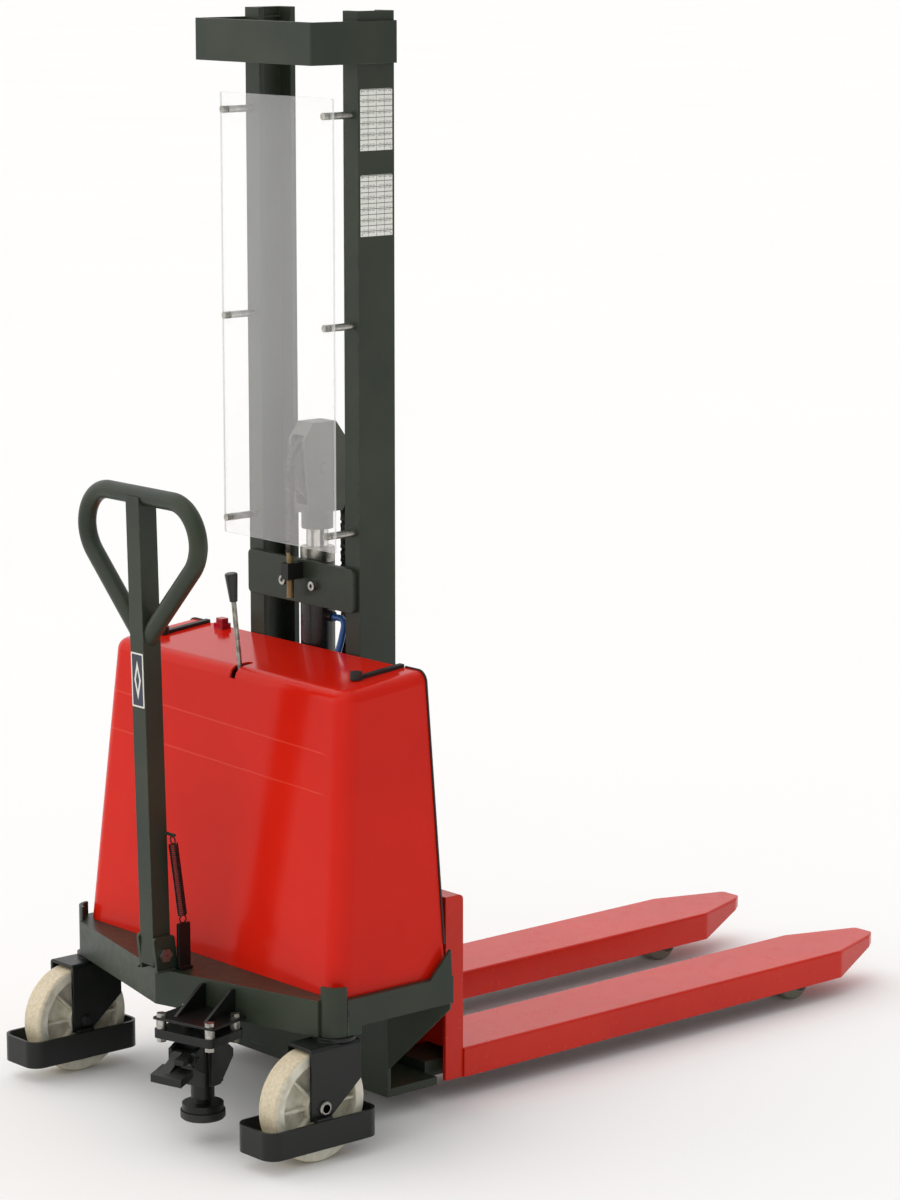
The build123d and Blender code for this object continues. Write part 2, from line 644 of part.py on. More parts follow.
# ================================================================ castors
# Yoke: a bent plate fork under the post, with a king pin up into the post's bore.
yoke_plate = 6.0
yoke_half = 36.0
yoke_bottom = wheel_z + 103.0
cheek_rear = 28.0
cheek_front = 82.0
cheek_foot = 20.0
y_axle = y_castor - castor_trail
bearing_radius = 38.0
tyre_width = 50.0
bolt_radius = 8.0
guard_bottom = 32.0
guard_height = 50.0
guard_half = 52.0
guard_bar = 5.0
guard_back = 32.0
guard_ahead = 14.0
for name, side in sides.items():
    x = side * castor_x
    with BuildPart() as yoke:
        with BuildSketch(Plane.YZ.offset(x - yoke_half)):
            Polygon(
                (y_axle - cheek_rear, wheel_z - cheek_foot),
                (y_axle - cheek_rear, yoke_bottom + yoke_plate),
                (y_axle + cheek_front, yoke_bottom + yoke_plate),
                (y_axle + cheek_front, wheel_z + 38),
                (y_axle + 12, wheel_z - cheek_foot),
                align=None,
            )
        extrude(amount=2 * yoke_half)
        fold = yoke.edges().filter_by(Axis.Y).group_by(Axis.Z)[-1]
        fillet(fold, 8)
        with Locations((x, y_castor, yoke_bottom - 2 * wheel_z)):
            Box(2 * (yoke_half - yoke_plate), 8 * cheek_front, 4 * wheel_z, mode=Mode.SUBTRACT)
        with BuildSketch(Plane.XY.offset(yoke_bottom + yoke_plate)):
            with Locations((x, y_castor)):
                Circle(bearing_radius)
        extrude(amount=post_bottom - seat_gap - yoke_bottom - yoke_plate)
        with BuildSketch(Plane.XY.offset(yoke_bottom)):
            with Locations((x, y_castor)):
                Circle(king_pin / 2)
        extrude(amount=post_bottom - yoke_bottom + 54)
        # Axle bolt with its heads outside and its spacers inside the cheeks.
        with Locations((x, y_axle, wheel_z)):
            with Locations(Rot(0, 90, 0)):
                Cylinder(bolt_radius, 2 * (yoke_half + 6))
                Cylinder(bolt_radius + 3, 2 * (yoke_half + 4))
        with Locations((x, y_axle, wheel_z)):
            with Locations(Rot(0, 90, 0)):
                Cylinder(bolt_radius + 4, tyre_width + 2 * seat_gap, mode=Mode.SUBTRACT)
                Cylinder(bolt_radius, tyre_width + 2)
    yoke.part.label = f"castor_yoke_{name}"
    export_step(yoke.part, f"parts/castor_yoke_{name}.step")

    # Foot guard: a loop of flat bar around the wheel, welded to two straps on the cheeks.
    guard_mid = (guard_ahead - guard_back) / 2
    with BuildPart() as guard:
        with BuildSketch(Plane.XY.offset(guard_bottom)):
            with Locations((x, y_axle + guard_mid)):
                RectangleRounded(2 * guard_half, castor_diameter + guard_back + guard_ahead, 26)
                RectangleRounded(
                    2 * (guard_half - guard_bar),
                    castor_diameter + guard_back + guard_ahead - 2 * guard_bar,
                    26 - guard_bar,
                    mode=Mode.SUBTRACT,
                )
        extrude(amount=guard_height)
        for end in (-1, 1):
            with BuildSketch(Plane.YZ.offset(x + end * (yoke_half + seat_gap))):
                with Locations((y_axle - 8, wheel_z - cheek_foot - 6)):
                    Rectangle(34, 24)
            extrude(amount=end * (guard_half - guard_bar - yoke_half + 1))
    guard.part.label = f"castor_guard_{name}"
    export_step(guard.part, f"parts/castor_guard_{name}.step")

    # Wheel: nylon rim, thin web with ribs on both faces, and a bearing hub.
    with BuildPart() as wheel:
        with Locations((x, y_axle, wheel_z)):
            with Locations(Rot(0, 90, 0)):
                Cylinder(wheel_z, tyre_width)
                Cylinder(wheel_z - 20, 2 * tyre_width, mode=Mode.SUBTRACT)
                Cylinder(wheel_z - 19, 12)
                Cylinder(28, tyre_width)
                with PolarLocations(wheel_z - 46, 8):
                    Box(54, 5, tyre_width - 14)
                Cylinder(bolt_radius + run_gap, 2 * tyre_width, mode=Mode.SUBTRACT)
        treads = wheel.edges().filter_by(GeomType.CIRCLE).filter_by(
            lambda edge: edge.radius > wheel_z - 1
        )
        fillet(treads, 6)
    wheel.part.label = f"castor_wheel_{name}"
    export_step(wheel.part, f"parts/castor_wheel_{name}.step")

# ================================================================ tiller
# Everything on the tiller is drawn in a plane that leans back with the drawbar.
pivot_z = deck_top + 30.0
y_pivot = y_apex + 2.0
tiller_lean = 1.3
drawbar_foot = 292.0
tiller_plane = Plane(
    origin=(0, y_pivot, pivot_z),
    x_dir=(1, 0, 0),
    z_dir=(0, -sin(radians(tiller_lean)), cos(radians(tiller_lean))),
)
tiller_face = Plane(origin=tiller_plane.origin, x_dir=(1, 0, 0), z_dir=-tiller_plane.y_dir)
loop_top = handle_height - pivot_z - handle_tube / 2
loop_half = handle_half_width - handle_tube / 2
loop_waist = loop_top - 96.0
loop_join = loop_top - 262.0
loop_wall = 2.5
with BuildPart() as loop:
    with BuildLine(tiller_face) as loop_path:
        FilletPolyline(
            (0, loop_top),
            (loop_half, loop_top),
            (loop_half, loop_waist),
            (0, loop_join),
            radius=(70, 72),
        )
    with BuildSketch(Plane(origin=loop_path.line @ 0, z_dir=loop_path.line % 0)):
        Circle(handle_tube / 2)
        Circle(handle_tube / 2 - loop_wall, mode=Mode.SUBTRACT)
    sweep()
    mirror(about=Plane.YZ)
    # The two lower ends are cut square against the drawbar's sides.
    with BuildSketch(tiller_plane):
        Rectangle(drawbar_side, 3 * drawbar_side)
    extrude(amount=loop_top - handle_tube, mode=Mode.SUBTRACT)
loop.part.label = "handle_loop"
export_step(loop.part, "parts/handle_loop.step")

# Drawbar: a square tube, coped at the top to the loop's bar.
cheek_thick = 7.0
bracket_half = drawbar_side / 2 + seat_gap + cheek_thick
spring_radius = 9.0
spring_x = bracket_half + 9.0
spring_top = 531.0
spring_bottom = 366.0
eye_radius = 3.0
y_spring_top = y_pivot + 13.0
y_spring_post = y_apex + 38.0
drawbar_wall = 3.0
pin_bore = 8.0
foot_drop = pivot_z - drawbar_foot
with BuildPart() as drawbar:
    with BuildSketch(tiller_plane.offset(-foot_drop)):
        Rectangle(drawbar_side, drawbar_side)
        Rectangle(drawbar_side - 2 * drawbar_wall, drawbar_side - 2 * drawbar_wall, mode=Mode.SUBTRACT)
    extrude(amount=foot_drop + loop_top)
    with BuildLine(tiller_face) as cope_path:
        Line((-drawbar_side, loop_top), (drawbar_side, loop_top))
    with BuildSketch(Plane(origin=cope_path.line @ 0, z_dir=cope_path.line % 0)):
        Circle(handle_tube / 2)
    sweep(mode=Mode.SUBTRACT)
    with Locations((0, y_pivot, pivot_z)):
        with Locations(Rot(0, 90, 0)):
            Cylinder(pin_bore + run_gap, 2 * drawbar_side, mode=Mode.SUBTRACT)
    # Eye peg for the upper end of the return spring.
    with BuildSketch(Plane.YZ.offset(drawbar_side / 2)):
        with Locations((y_spring_top, spring_top)):
            Circle(eye_radius)
    extrude(amount=spring_x + 8 - drawbar_side / 2)
drawbar.part.label = "drawbar"
export_step(drawbar.part, "parts/drawbar.step")

# Tiller bracket: two cheeks on a foot plate welded over the apex of the deck.
bracket_front = 24.0
bracket_rear = 30.0
bracket_top = 345.0
with BuildPart() as bracket:
    for side in sides.values():
        with BuildSketch(Plane.YZ.offset(side * (bracket_half - cheek_thick))):
            with BuildLine():
                FilletPolyline(
                    (y_pivot - bracket_front + 8, deck_top),
                    (y_pivot - bracket_front, bracket_top),
                    (y_pivot + bracket_rear - 8, bracket_top),
                    (y_pivot + bracket_rear, deck_top),
                    radius=8,
                )
                Line((y_pivot + bracket_rear, deck_top), (y_pivot - bracket_front + 8, deck_top))
            make_face()
            with Locations((y_pivot, pivot_z)):
                Circle(pin_bore, mode=Mode.SUBTRACT)
        extrude(amount=side * cheek_thick)
    with BuildSketch(Plane.XY.offset(deck_top)):
        with Locations((0, y_pivot + (bracket_rear + 10) / 2 - 2)):
            Rectangle(2 * bracket_half, bracket_rear - 10)
    extrude(amount=4)
bracket.part.label = "tiller_bracket"
export_step(bracket.part, "parts/tiller_bracket.step")

with BuildPart() as tiller_pin:
    with Locations((0, y_pivot, pivot_z)):
        with Locations(Rot(0, 90, 0)):
            Cylinder(pin_bore, 2 * bracket_half + 6)
    for end in (-1, 1):
        with BuildSketch(Plane.YZ.offset(end * bracket_half)):
            with Locations((y_pivot, pivot_z)):
                RegularPolygon(pin_bore + 5, 6)
        extrude(amount=end * 7)
tiller_pin.part.label = "tiller_pin"
export_step(tiller_pin.part, "parts/tiller_pin.step")

# Return spring: an extension spring between an eye on the drawbar and a post on the deck.
spring_lean = degrees(atan2(y_spring_post - y_spring_top, spring_top - spring_bottom))
spring_length = hypot(y_spring_post - y_spring_top, spring_top - spring_bottom)
spring_plane = Plane(
    origin=(spring_x, y_spring_post, spring_bottom),
    x_dir=(1, 0, 0),
    z_dir=(0, -sin(radians(spring_lean)), cos(radians(spring_lean))),
)
spring_seat = seat_gap + spring_radius * sin(radians(spring_lean))
with BuildPart() as spring:
    with BuildSketch(spring_plane.offset(spring_seat)):
        Circle(spring_radius)
    extrude(amount=spring_length - 2 * spring_seat - eye_radius)
spring.part.label = "tiller_spring"
export_step(spring.part, "parts/tiller_spring.step")

# Spring post: an upright strip beside the bracket, hooked by the spring's lower end.
with BuildPart() as spring_post:
    with BuildSketch(Plane.XY.offset(deck_top)):
        with Locations((spring_x, y_spring_post)):
            Rectangle(6, 26)
    extrude(amount=spring_bottom - deck_top)
    with BuildSketch(Plane.XY.offset(deck_top)):
        with Locations((spring_x, y_spring_post)):
            Rectangle(2 * (spring_x - bracket_half), 26)
    extrude(amount=6)
spring_post.part.label = "spring_post"
export_step(spring_post.part, "parts/spring_post.step")

# ================================================================ hood and controls
# Hood: a tapered moulded shell, open below and behind, over the power pack.
hood_bottom = deck_top + seat_gap
y_hood_front = y_apex + 115.0
y_hood_top_front = y_apex + 166.0
y_hood_rear_low = y_skirt_rear - 8.0
y_hood_rear = y_mast_rear - 5.0
hood_corner = 34.0
top_radius = 22.0
loft_top = hood_top_rear + 10.0  # the form is drawn past its top, then cut to the slope
top_slope = (hood_top_rear - hood_top_front) / (y_hood_rear - y_hood_top_front)


def top_height(y):
    """Height of the hood's sloping top at a place along the truck."""
    return hood_top_rear + top_slope * (y - y_hood_rear)


def hood_form(inset):
    """The hood's outer form, or its hollow when drawn in by the wall's inset."""
    past = 2.0 if inset else 0.0
    with BuildPart() as form:
        for z, half, y_front, y_rear in (
            (hood_bottom - past, hood_base_width / 2, y_hood_front, y_hood_rear_low),
            (loft_top, hood_top_width / 2, y_hood_top_front, y_hood_rear),
        ):
            with BuildSketch(Plane.XY.offset(z)) as ring:
                with Locations((0, (y_front + inset + y_rear + past) / 2)):
                    Rectangle(2 * (half - inset), y_rear + past - y_front - inset)
                fillet(ring.vertices().group_by(Axis.Y)[0], hood_corner - inset)
        loft()
        # The top slopes down towards the operator.
        with BuildSketch(Plane.YZ.offset(-hood_base_width)):
            Polygon(
                (y_apex, top_height(y_apex) - inset),
                (y_heel, top_height(y_heel) - inset),
                (y_heel, hood_top_rear + 100),
                (y_apex, hood_top_rear + 100),
                align=None,
            )
        extrude(amount=2 * hood_base_width, mode=Mode.SUBTRACT)
        rim = form.faces().sort_by(Axis.Z)[-1].edges()
        fillet(rim.sort_by(Axis.Y)[:-1], top_radius - inset)
    return form.part


lever_x = 24.0
lever_width = 9.0
y_slot_front = y_apex + 155.0
y_slot_rear = y_apex + 208.0
slot_width = 17.0
slot_drop = 20.0  # how far the slot runs down the rounded front edge
with BuildPart() as hood:
    add(hood_form(0))
    add(hood_form(hood_wall), mode=Mode.SUBTRACT)
    # Slot for the control lever.
    with BuildSketch(Plane.XY.offset(hood_top_front - slot_drop)):
        with Locations((lever_x, (y_slot_front + y_slot_rear) / 2)):
            SlotOverall(y_slot_rear - y_slot_front, slot_width, rotation=90)
    extrude(amount=100, mode=Mode.SUBTRACT)
hood.part.label = "hood"
export_step(hood.part, "parts/hood.step")

# Hood straps: rubber bands along the top that end in a knob.
strap_x = 280.0
strap_width = 12.0
strap_thick = 6.0
strap_length = 100.0
knob_radius = 11.0
y_strap_knob = y_hood_rear - strap_length - knob_radius / 2
with BuildPart() as straps:
    for side in sides.values():
        with BuildSketch(Plane.YZ.offset(side * strap_x - strap_width / 2)):
            Polygon(
                (y_hood_rear - strap_length, top_height(y_hood_rear - strap_length)),
                (y_hood_rear, top_height(y_hood_rear)),
                (y_hood_rear, top_height(y_hood_rear) + strap_thick),
                (y_hood_rear - strap_length, top_height(y_hood_rear - strap_length) + strap_thick),
                align=None,
            )
        extrude(amount=strap_width)
        with BuildSketch(Plane.XY.offset(top_height(y_strap_knob + knob_radius))):
            with Locations((side * strap_x, y_strap_knob)):
                Circle(knob_radius)
        extrude(amount=14)
straps.part.label = "hood_straps"
export_step(straps.part, "parts/hood_straps.step")

# Rubber edging: clipped on the rear edges of the hood's sides and upper corners.
edge_lip = 3.0
edge_depth = 7.0
edge_start = deck_top + ear_height + 8
flap_width = 136.0
flap_drop = 80.0
flap_thick = 2.5
flap_x = lever_x - 26.0
y_flap = y_slot_rear + 14.0
edge_plane = Plane(
    origin=(0, y_hood_rear_low, hood_bottom),
    x_dir=(1, 0, 0),
    z_dir=(0, hood_bottom - loft_top, y_hood_rear - y_hood_rear_low),
)
edge_rise = hood_top_rear - hood_bottom
half_top = hood_top_width / 2
half_base = hood_base_width / 2


def rear_outline(out):
    """Corners of the hood's open rear edge, grown outwards by a margin."""
    return [
        (-half_base - out, 0),
        (-half_top - out, edge_rise + out),
        (half_top + out, edge_rise + out),
        (half_base + out, 0),
    ]


with BuildPart() as edging:
    with BuildSketch(edge_plane) as edge_sketch:
        Polygon(*rear_outline(edge_lip), align=None)
        fillet(edge_sketch.vertices().group_by(Axis.Y)[-1], top_radius)
        with BuildSketch(edge_plane, mode=Mode.PRIVATE) as edge_hole:
            Polygon(*rear_outline(-edge_depth), align=None)
            fillet(edge_hole.vertices().group_by(Axis.Y)[-1], top_radius - edge_depth)
        add(edge_hole.sketch_local, mode=Mode.SUBTRACT)
        Rectangle(2 * strap_x + strap_width + 2, 4 * edge_rise, mode=Mode.SUBTRACT)
        Rectangle(4 * half_base, 2 * (edge_start - hood_bottom), mode=Mode.SUBTRACT)
    extrude(amount=-3)
    # Rubber flap under the top that hides the inside of the lever slot.
    with BuildSketch(Plane.XZ.offset(-y_flap)):
        with Locations((flap_x, top_height(y_flap) - hood_wall - seat_gap - flap_drop / 2)):
            Rectangle(flap_width, flap_drop)
    extrude(amount=-flap_thick)
edging.part.label = "hood_edging"
export_step(edging.part, "parts/hood_edging.step")

# Power switch: a red button in a low housing near the hood's rear edge.
switch_x = -221.0
y_switch = y_hood_rear - 13.0
switch_press = 4.0
housing_size = (26.0, 23.0)
housing_height = 11.0
button_size = (19.0, 16.0)
button_height = 11.0
with BuildPart() as switch_housing:
    with BuildSketch(Plane.XY.offset(top_height(y_switch - housing_size[1] / 2))):
        with Locations((switch_x, y_switch)):
            RectangleRounded(*housing_size, 3)
    extrude(amount=housing_height)
    with BuildSketch(Plane.XY.offset(top_height(y_switch) + 4)):
        with Locations((switch_x, y_switch)):
            Rectangle(button_size[0] + 2 * seat_gap, button_size[1] + 2 * seat_gap)
    extrude(amount=20, mode=Mode.SUBTRACT)
    split(bisect_by=Plane(
        origin=(0, y_hood_rear, hood_top_rear), x_dir=(1, 0, 0), z_dir=(0, -top_slope, 1)
    ), keep=Keep.TOP)
switch_housing.part.label = "switch_housing"
export_step(switch_housing.part, "parts/switch_housing.step")

with BuildPart() as switch_button:
    with BuildSketch(Plane.XY.offset(top_height(y_switch) + 4 + switch_press + seat_gap)):
        with Locations((switch_x, y_switch)):
            RectangleRounded(*button_size, 2)
    extrude(amount=button_height)
switch_button.part.label = "switch_button"
export_step(switch_button.part, "parts/switch_button.step")

# Power pack: tank, valve block, pump motor and battery on the deck.
y_lever = y_apex + 187.0
lever_pivot_z = 745.0
tank_top = 620.0
tank_half = 90.0
y_tank_front = y_apex + 168.0
y_tank_rear = y_apex + 275.0
with BuildPart() as tank:
    with BuildSketch(Plane.XY.offset(deck_top)):
        with Locations((lever_x, (y_tank_front + y_tank_rear) / 2)):
            RectangleRounded(2 * tank_half, y_tank_rear - y_tank_front, 12)
    extrude(amount=tank_top - deck_top)
    with BuildSketch(Plane.XY.offset(tank_top)):
        with Locations((lever_x - tank_half + 28, y_tank_rear - 30)):
            Circle(18)
    extrude(amount=22)
tank.part.label = "oil_tank"
export_step(tank.part, "parts/oil_tank.step")

valve_top = 722.0
ear_half = 6.0
lever_pin = 4.0
with BuildPart() as valve:
    with BuildSketch(Plane.XY.offset(tank_top)):
        with Locations((lever_x, y_lever + 12)):
            Rectangle(84, 50)
    extrude(amount=valve_top - tank_top)
    for side in sides.values():
        with BuildSketch(Plane.YZ.offset(lever_x + side * ear_half)):
            with Locations((y_lever, (valve_top + lever_pivot_z + 10) / 2)):
                Rectangle(22, lever_pivot_z + 10 - valve_top)
        extrude(amount=side * 5)
    # Pivot pin of the control lever.
    with Locations((lever_x, y_lever, lever_pivot_z)):
        with Locations(Rot(0, 90, 0)):
            Cylinder(lever_pin, 2 * ear_half + 14)
valve.part.label = "valve_block"
export_step(valve.part, "parts/valve_block.step")

# Control lever: leans towards the operator, with a tapered knob.
lever_lean = 6.0
knob_length = 52.0
lever_top = 983.0
lever_plane = Plane(
    origin=(lever_x, y_lever, lever_pivot_z),
    x_dir=(1, 0, 0),
    z_dir=(0, -sin(radians(lever_lean)), cos(radians(lever_lean))),
)
lever_length = (lever_top - lever_pivot_z) / cos(radians(lever_lean))
with BuildPart() as lever:
    with BuildSketch(lever_plane):
        Circle(lever_width / 2)
    extrude(amount=lever_length - knob_length + 12)
    with BuildSketch(Plane.YZ.offset(lever_x - ear_half + seat_gap)):
        with Locations((y_lever, lever_pivot_z)):
            Circle(8)
    extrude(amount=2 * (ear_half - seat_gap))
    with Locations((lever_x, y_lever, lever_pivot_z)):
        with Locations(Rot(0, 90, 0)):
            Cylinder(lever_pin + run_gap, 60, mode=Mode.SUBTRACT)
lever.part.label = "control_lever"
export_step(lever.part, "parts/control_lever.step")

with BuildPart() as lever_knob:
    with BuildSketch(lever_plane.offset(lever_length - knob_length)):
        Circle(7)
    with BuildSketch(lever_plane.offset(lever_length - 5)):
        Circle(11.5)
    loft()
    with BuildSketch(lever_plane.offset(lever_length - 5)):
        Circle(11.5)
    extrude(amount=5)
    fillet(lever_knob.faces().sort_by(Axis.Z)[-1].edges(), 3)
    with BuildSketch(lever_plane.offset(lever_length - knob_length)):
        Circle(lever_width / 2)
    extrude(amount=12, mode=Mode.SUBTRACT)
lever_knob.part.label = "lever_knob"
export_step(lever_knob.part, "parts/lever_knob.step")

motor_radius = 58.0
motor_x = 235.0
y_motor = y_apex + 225.0
with BuildPart() as motor:
    with BuildSketch(Plane.XY.offset(deck_top)):
        with Locations((motor_x, y_motor)):
            RectangleRounded(2 * motor_radius, 2 * motor_radius, 10)
    extrude(amount=70)
    with BuildSketch(Plane.XY.offset(deck_top + 70)):
        with Locations((motor_x, y_motor)):
            Circle(motor_radius)
    extrude(amount=190)
    with BuildSketch(Plane.XY.offset(deck_top + 40)):
        with Locations((lever_x + tank_half + (motor_x - motor_radius - lever_x - tank_half) / 2, y_motor)):
            Rectangle(motor_x - motor_radius - lever_x - tank_half, 40)
    extrude(amount=24)
motor.part.label = "pump_motor"
export_step(motor.part, "parts/pump_motor.step")

battery_x = -205.0
battery_size = (250.0, 170.0, 200.0)
y_battery = y_apex + 235.0
with BuildPart() as battery:
    with Locations((battery_x, y_battery, deck_top + battery_size[2] / 2)):
        Box(*battery_size)
    with BuildSketch(Plane.XY.offset(deck_top + battery_size[2])):
        with Locations((battery_x, y_battery)):
            with GridLocations(battery_size[0] - 60, battery_size[1] - 60, 2, 1):
                Circle(9)
    extrude(amount=16)
battery.part.label = "battery"
export_step(battery.part, "parts/battery.step")

# Return hose: from the ram's upper port down into the back of the tank.
hose_points = [
    (ram_radius + port_reach, ram_y, port_z),
    (ram_radius + port_reach + 34, ram_y, port_z),
    (ram_radius + port_reach + 30, ram_y - 14, port_z - 62),
    (64, y_mast_rear - 40, port_z - 160),
    (50, y_mast_rear - 62, port_z - 270),
    (50, y_tank_rear + 26, 560),
    (50, y_tank_rear, 560),
]


def corner_radii(points):
    """Largest easy radius at each inner point of a route of straight runs."""
    radii = []
    for before, here, after in zip(points, points[1:], points[2:]):
        run_in = Vector(*here) - Vector(*before)
        run_out = Vector(*after) - Vector(*here)
        turn = radians(run_in.get_angle(run_out))
        radii.append(0.45 * min(run_in.length, run_out.length) / tan(turn / 2))
    return radii


hose_radii = corner_radii(hose_points)
with BuildPart() as hose:
    with BuildLine() as hose_path:
        FilletPolyline(*hose_points, radius=hose_radii)
    with BuildSketch(Plane(origin=hose_path.line @ 0, z_dir=hose_path.line % 0)):
        Circle(hose_radius)
    sweep()
hose.part.label = "return_hose"
export_step(hose.part, "parts/return_hose.step")

# ================================================================ floor lock
# Drawn in a frame set square to the slanted front beam it hangs from.
lock_x = 156.0
lock_stand = 60.0
beam_angle = degrees(atan2(y_corner - y_apex, half_deck - corner_cut))
ca = cos(radians(beam_angle))
sa = sin(radians(beam_angle))
lock_y = y_apex + lock_x * sa / ca - lock_stand / ca
lock_plane = Plane(origin=(lock_x, lock_y, 0), x_dir=(ca, sa, 0), z_dir=(0, 0, 1))
lock_side = Plane(origin=(lock_x, lock_y, 0), x_dir=(-sa, ca, 0), z_dir=(ca, sa, 0))
plate_size = (132.0, 96.0)
bolt_grid = (108.0, 72.0)
lock_plate_z = 226.0
lock_plate = 5.0
spacer = 16.0
flange_thick = 16.0
flange_top = lock_plate_z - spacer
column_bottom = 112.0
gusset_x = 30.0
lock_bolt = 5.0
with BuildPart() as lock_bracket:
    with BuildSketch(lock_plane.offset(lock_plate_z)):
        with Locations((0, -plate_size[1] / 2 + lock_stand - 8)):
            Rectangle(plate_size[0], plate_size[1])
        with Locations((0, lock_stand - 4)):
            Rectangle(2 * gusset_x + 12, 8)
        with GridLocations(*bolt_grid, 2, 2):
            Circle(lock_bolt, mode=Mode.SUBTRACT)
    extrude(amount=lock_plate)
    for side in sides.values():
        with BuildSketch(lock_side.offset(side * gusset_x)):
            Polygon(
                (lock_stand, lock_plate_z),
                (lock_stand, deck_top - 8),
                (lock_stand - 12, deck_top - 8),
                (-24, lock_plate_z + lock_plate),
                (-24, lock_plate_z),
                align=None,
            )
        extrude(amount=side * 6)
lock_bracket.part.label = "lock_bracket"
export_step(lock_bracket.part, "parts/lock_bracket.step")

with BuildPart() as lock_bolts:
    with BuildSketch(lock_plane.offset(lock_plate_z + lock_plate)):
        with GridLocations(*bolt_grid, 2, 2):
            RegularPolygon(9, 6)
    extrude(amount=7)
    with BuildSketch(lock_plane.offset(flange_top - flange_thick)):
        with GridLocations(*bolt_grid, 2, 2):
            Circle(lock_bolt)
    extrude(amount=lock_plate_z + lock_plate - flange_top + flange_thick)
    with BuildSketch(lock_plane.offset(flange_top - flange_thick)):
        with GridLocations(*bolt_grid, 2, 2):
            RegularPolygon(9, 6)
    extrude(amount=-8)
    with BuildSketch(lock_plane.offset(flange_top)):
        with GridLocations(*bolt_grid, 2, 2):
            Circle(lock_bolt + 4)
    extrude(amount=spacer)
lock_bolts.part.label = "lock_bolts"
export_step(lock_bolts.part, "parts/lock_bolts.step")

# Housing: a cast flange and column with the plunger's bore and the pedal's ears.
column_size = (62.0, 58.0)
neck_radius = 21.0
neck_bottom = 82.0
plunger_radius = 13.0
pedal_y = -38.0
pedal_z = 166.0
pedal_pin = 6.0
pedal_half = 22.0
with BuildPart() as lock_housing:
    with BuildSketch(lock_plane.offset(flange_top)):
        RectangleRounded(bolt_grid[0] + 22, bolt_grid[1] + 22, 8)
        with GridLocations(*bolt_grid, 2, 2):
            Circle(lock_bolt, mode=Mode.SUBTRACT)
    extrude(amount=-flange_thick)
    with BuildSketch(lock_plane.offset(flange_top - flange_thick)):
        with Locations((0, 6)):
            RectangleRounded(*column_size, 8)
    extrude(amount=column_bottom - flange_top + flange_thick)
    with BuildSketch(lock_plane.offset(column_bottom)):
        with Locations((0, 10)):
            Circle(neck_radius)
    extrude(amount=neck_bottom - column_bottom)
    with BuildSketch(lock_plane.offset(neck_bottom - 1)):
        with Locations((0, 10)):
            Circle(plunger_radius + run_gap)
    extrude(amount=flange_top - neck_bottom, mode=Mode.SUBTRACT)
    for side in sides.values():
        with BuildSketch(lock_side.offset(side * (pedal_half + seat_gap))):
            Polygon(
                (-18, flange_top - flange_thick),
                (pedal_y - 10, pedal_z + 14),
                (pedal_y - 10, pedal_z - 12),
                (-18, pedal_z - 30),
                align=None,
            )
        extrude(amount=side * 7)
    # Pin for the pedal and the release tab.
    with BuildSketch(lock_side.offset(-pedal_half - 10)):
        with Locations((pedal_y, pedal_z)):
            Circle(pedal_pin)
    extrude(amount=2 * (pedal_half + 10))
    # Side plate that carries the plunger's over-centre stop.
    with BuildSketch(lock_side.offset(column_size[0] / 2 - 1)):
        Polygon(
            (-10, flange_top - flange_thick),
            (20, flange_top - flange_thick),
            (50, flange_top - flange_thick - 26),
            (50, flange_top - flange_thick - 40),
            (14, column_bottom),
            (-10, column_bottom),
            align=None,
        )
    extrude(amount=8)
lock_housing.part.label = "lock_housing"
export_step(lock_housing.part, "parts/lock_housing.step")

# Pedal and release tab: both turn on the pin and reach out towards the operator.
pad_half = 34.0
pedal_reach = (overall_length / 2 + lock_y - pad_half * sa) / ca
with BuildPart() as pedal:
    with BuildSketch(lock_side.offset(-pedal_half)):
        with Locations((pedal_y, pedal_z)):
            Circle(13)
        Polygon(
            (pedal_y + 4, pedal_z - 12),
            (pedal_y - 10, pedal_z - 12),
            (-pedal_reach + 6, pedal_z - 34),
            (-pedal_reach + 6, pedal_z - 22),
            (pedal_y - 4, pedal_z + 8),
            align=None,
        )
        with Locations((pedal_y, pedal_z)):
            Circle(pedal_pin + run_gap, mode=Mode.SUBTRACT)
    extrude(amount=pedal_half - 1)
    with BuildSketch(lock_side.offset(-pad_half)):
        Polygon(
            (-pedal_reach, pedal_z - 36),
            (-pedal_reach, pedal_z - 22),
            (-pedal_reach + 34, pedal_z - 12),
            (-pedal_reach + 34, pedal_z - 26),
            align=None,
        )
    extrude(amount=2 * pad_half)
pedal.part.label = "lock_pedal"
export_step(pedal.part, "parts/lock_pedal.step")

with BuildPart() as release:
    with BuildSketch(lock_side.offset(1)):
        with Locations((pedal_y, pedal_z)):
            Circle(13)
        Polygon(
            (pedal_y - 2, pedal_z + 12),
            (-pedal_reach + 22, pedal_z + 4),
            (-pedal_reach + 22, pedal_z - 5),
            (pedal_y - 6, pedal_z - 2),
            align=None,
        )
        with Locations((pedal_y, pedal_z)):
            Circle(pedal_pin + run_gap, mode=Mode.SUBTRACT)
    extrude(amount=pedal_half - 1)
release.part.label = "lock_release"
export_step(release.part, "parts/lock_release.step")

# Plunger and foot: pressed down to the floor by the pedal.
foot_radius = 40.0
foot_rise = 45.0
pad_thick = 15.0
foot_thick = 13.0
plunger_top = 186.0
with BuildPart() as plunger:
    with BuildSketch(lock_plane.offset(foot_rise + pad_thick)):
        with Locations((0, 10)):
            Circle(foot_radius - 3)
    extrude(amount=foot_thick)
    with BuildSketch(lock_plane.offset(foot_rise + pad_thick)):
        with Locations((0, 10)):
            Circle(plunger_radius)
    extrude(amount=plunger_top - foot_rise - pad_thick)
plunger.part.label = "lock_plunger"
export_step(plunger.part, "parts/lock_plunger.step")

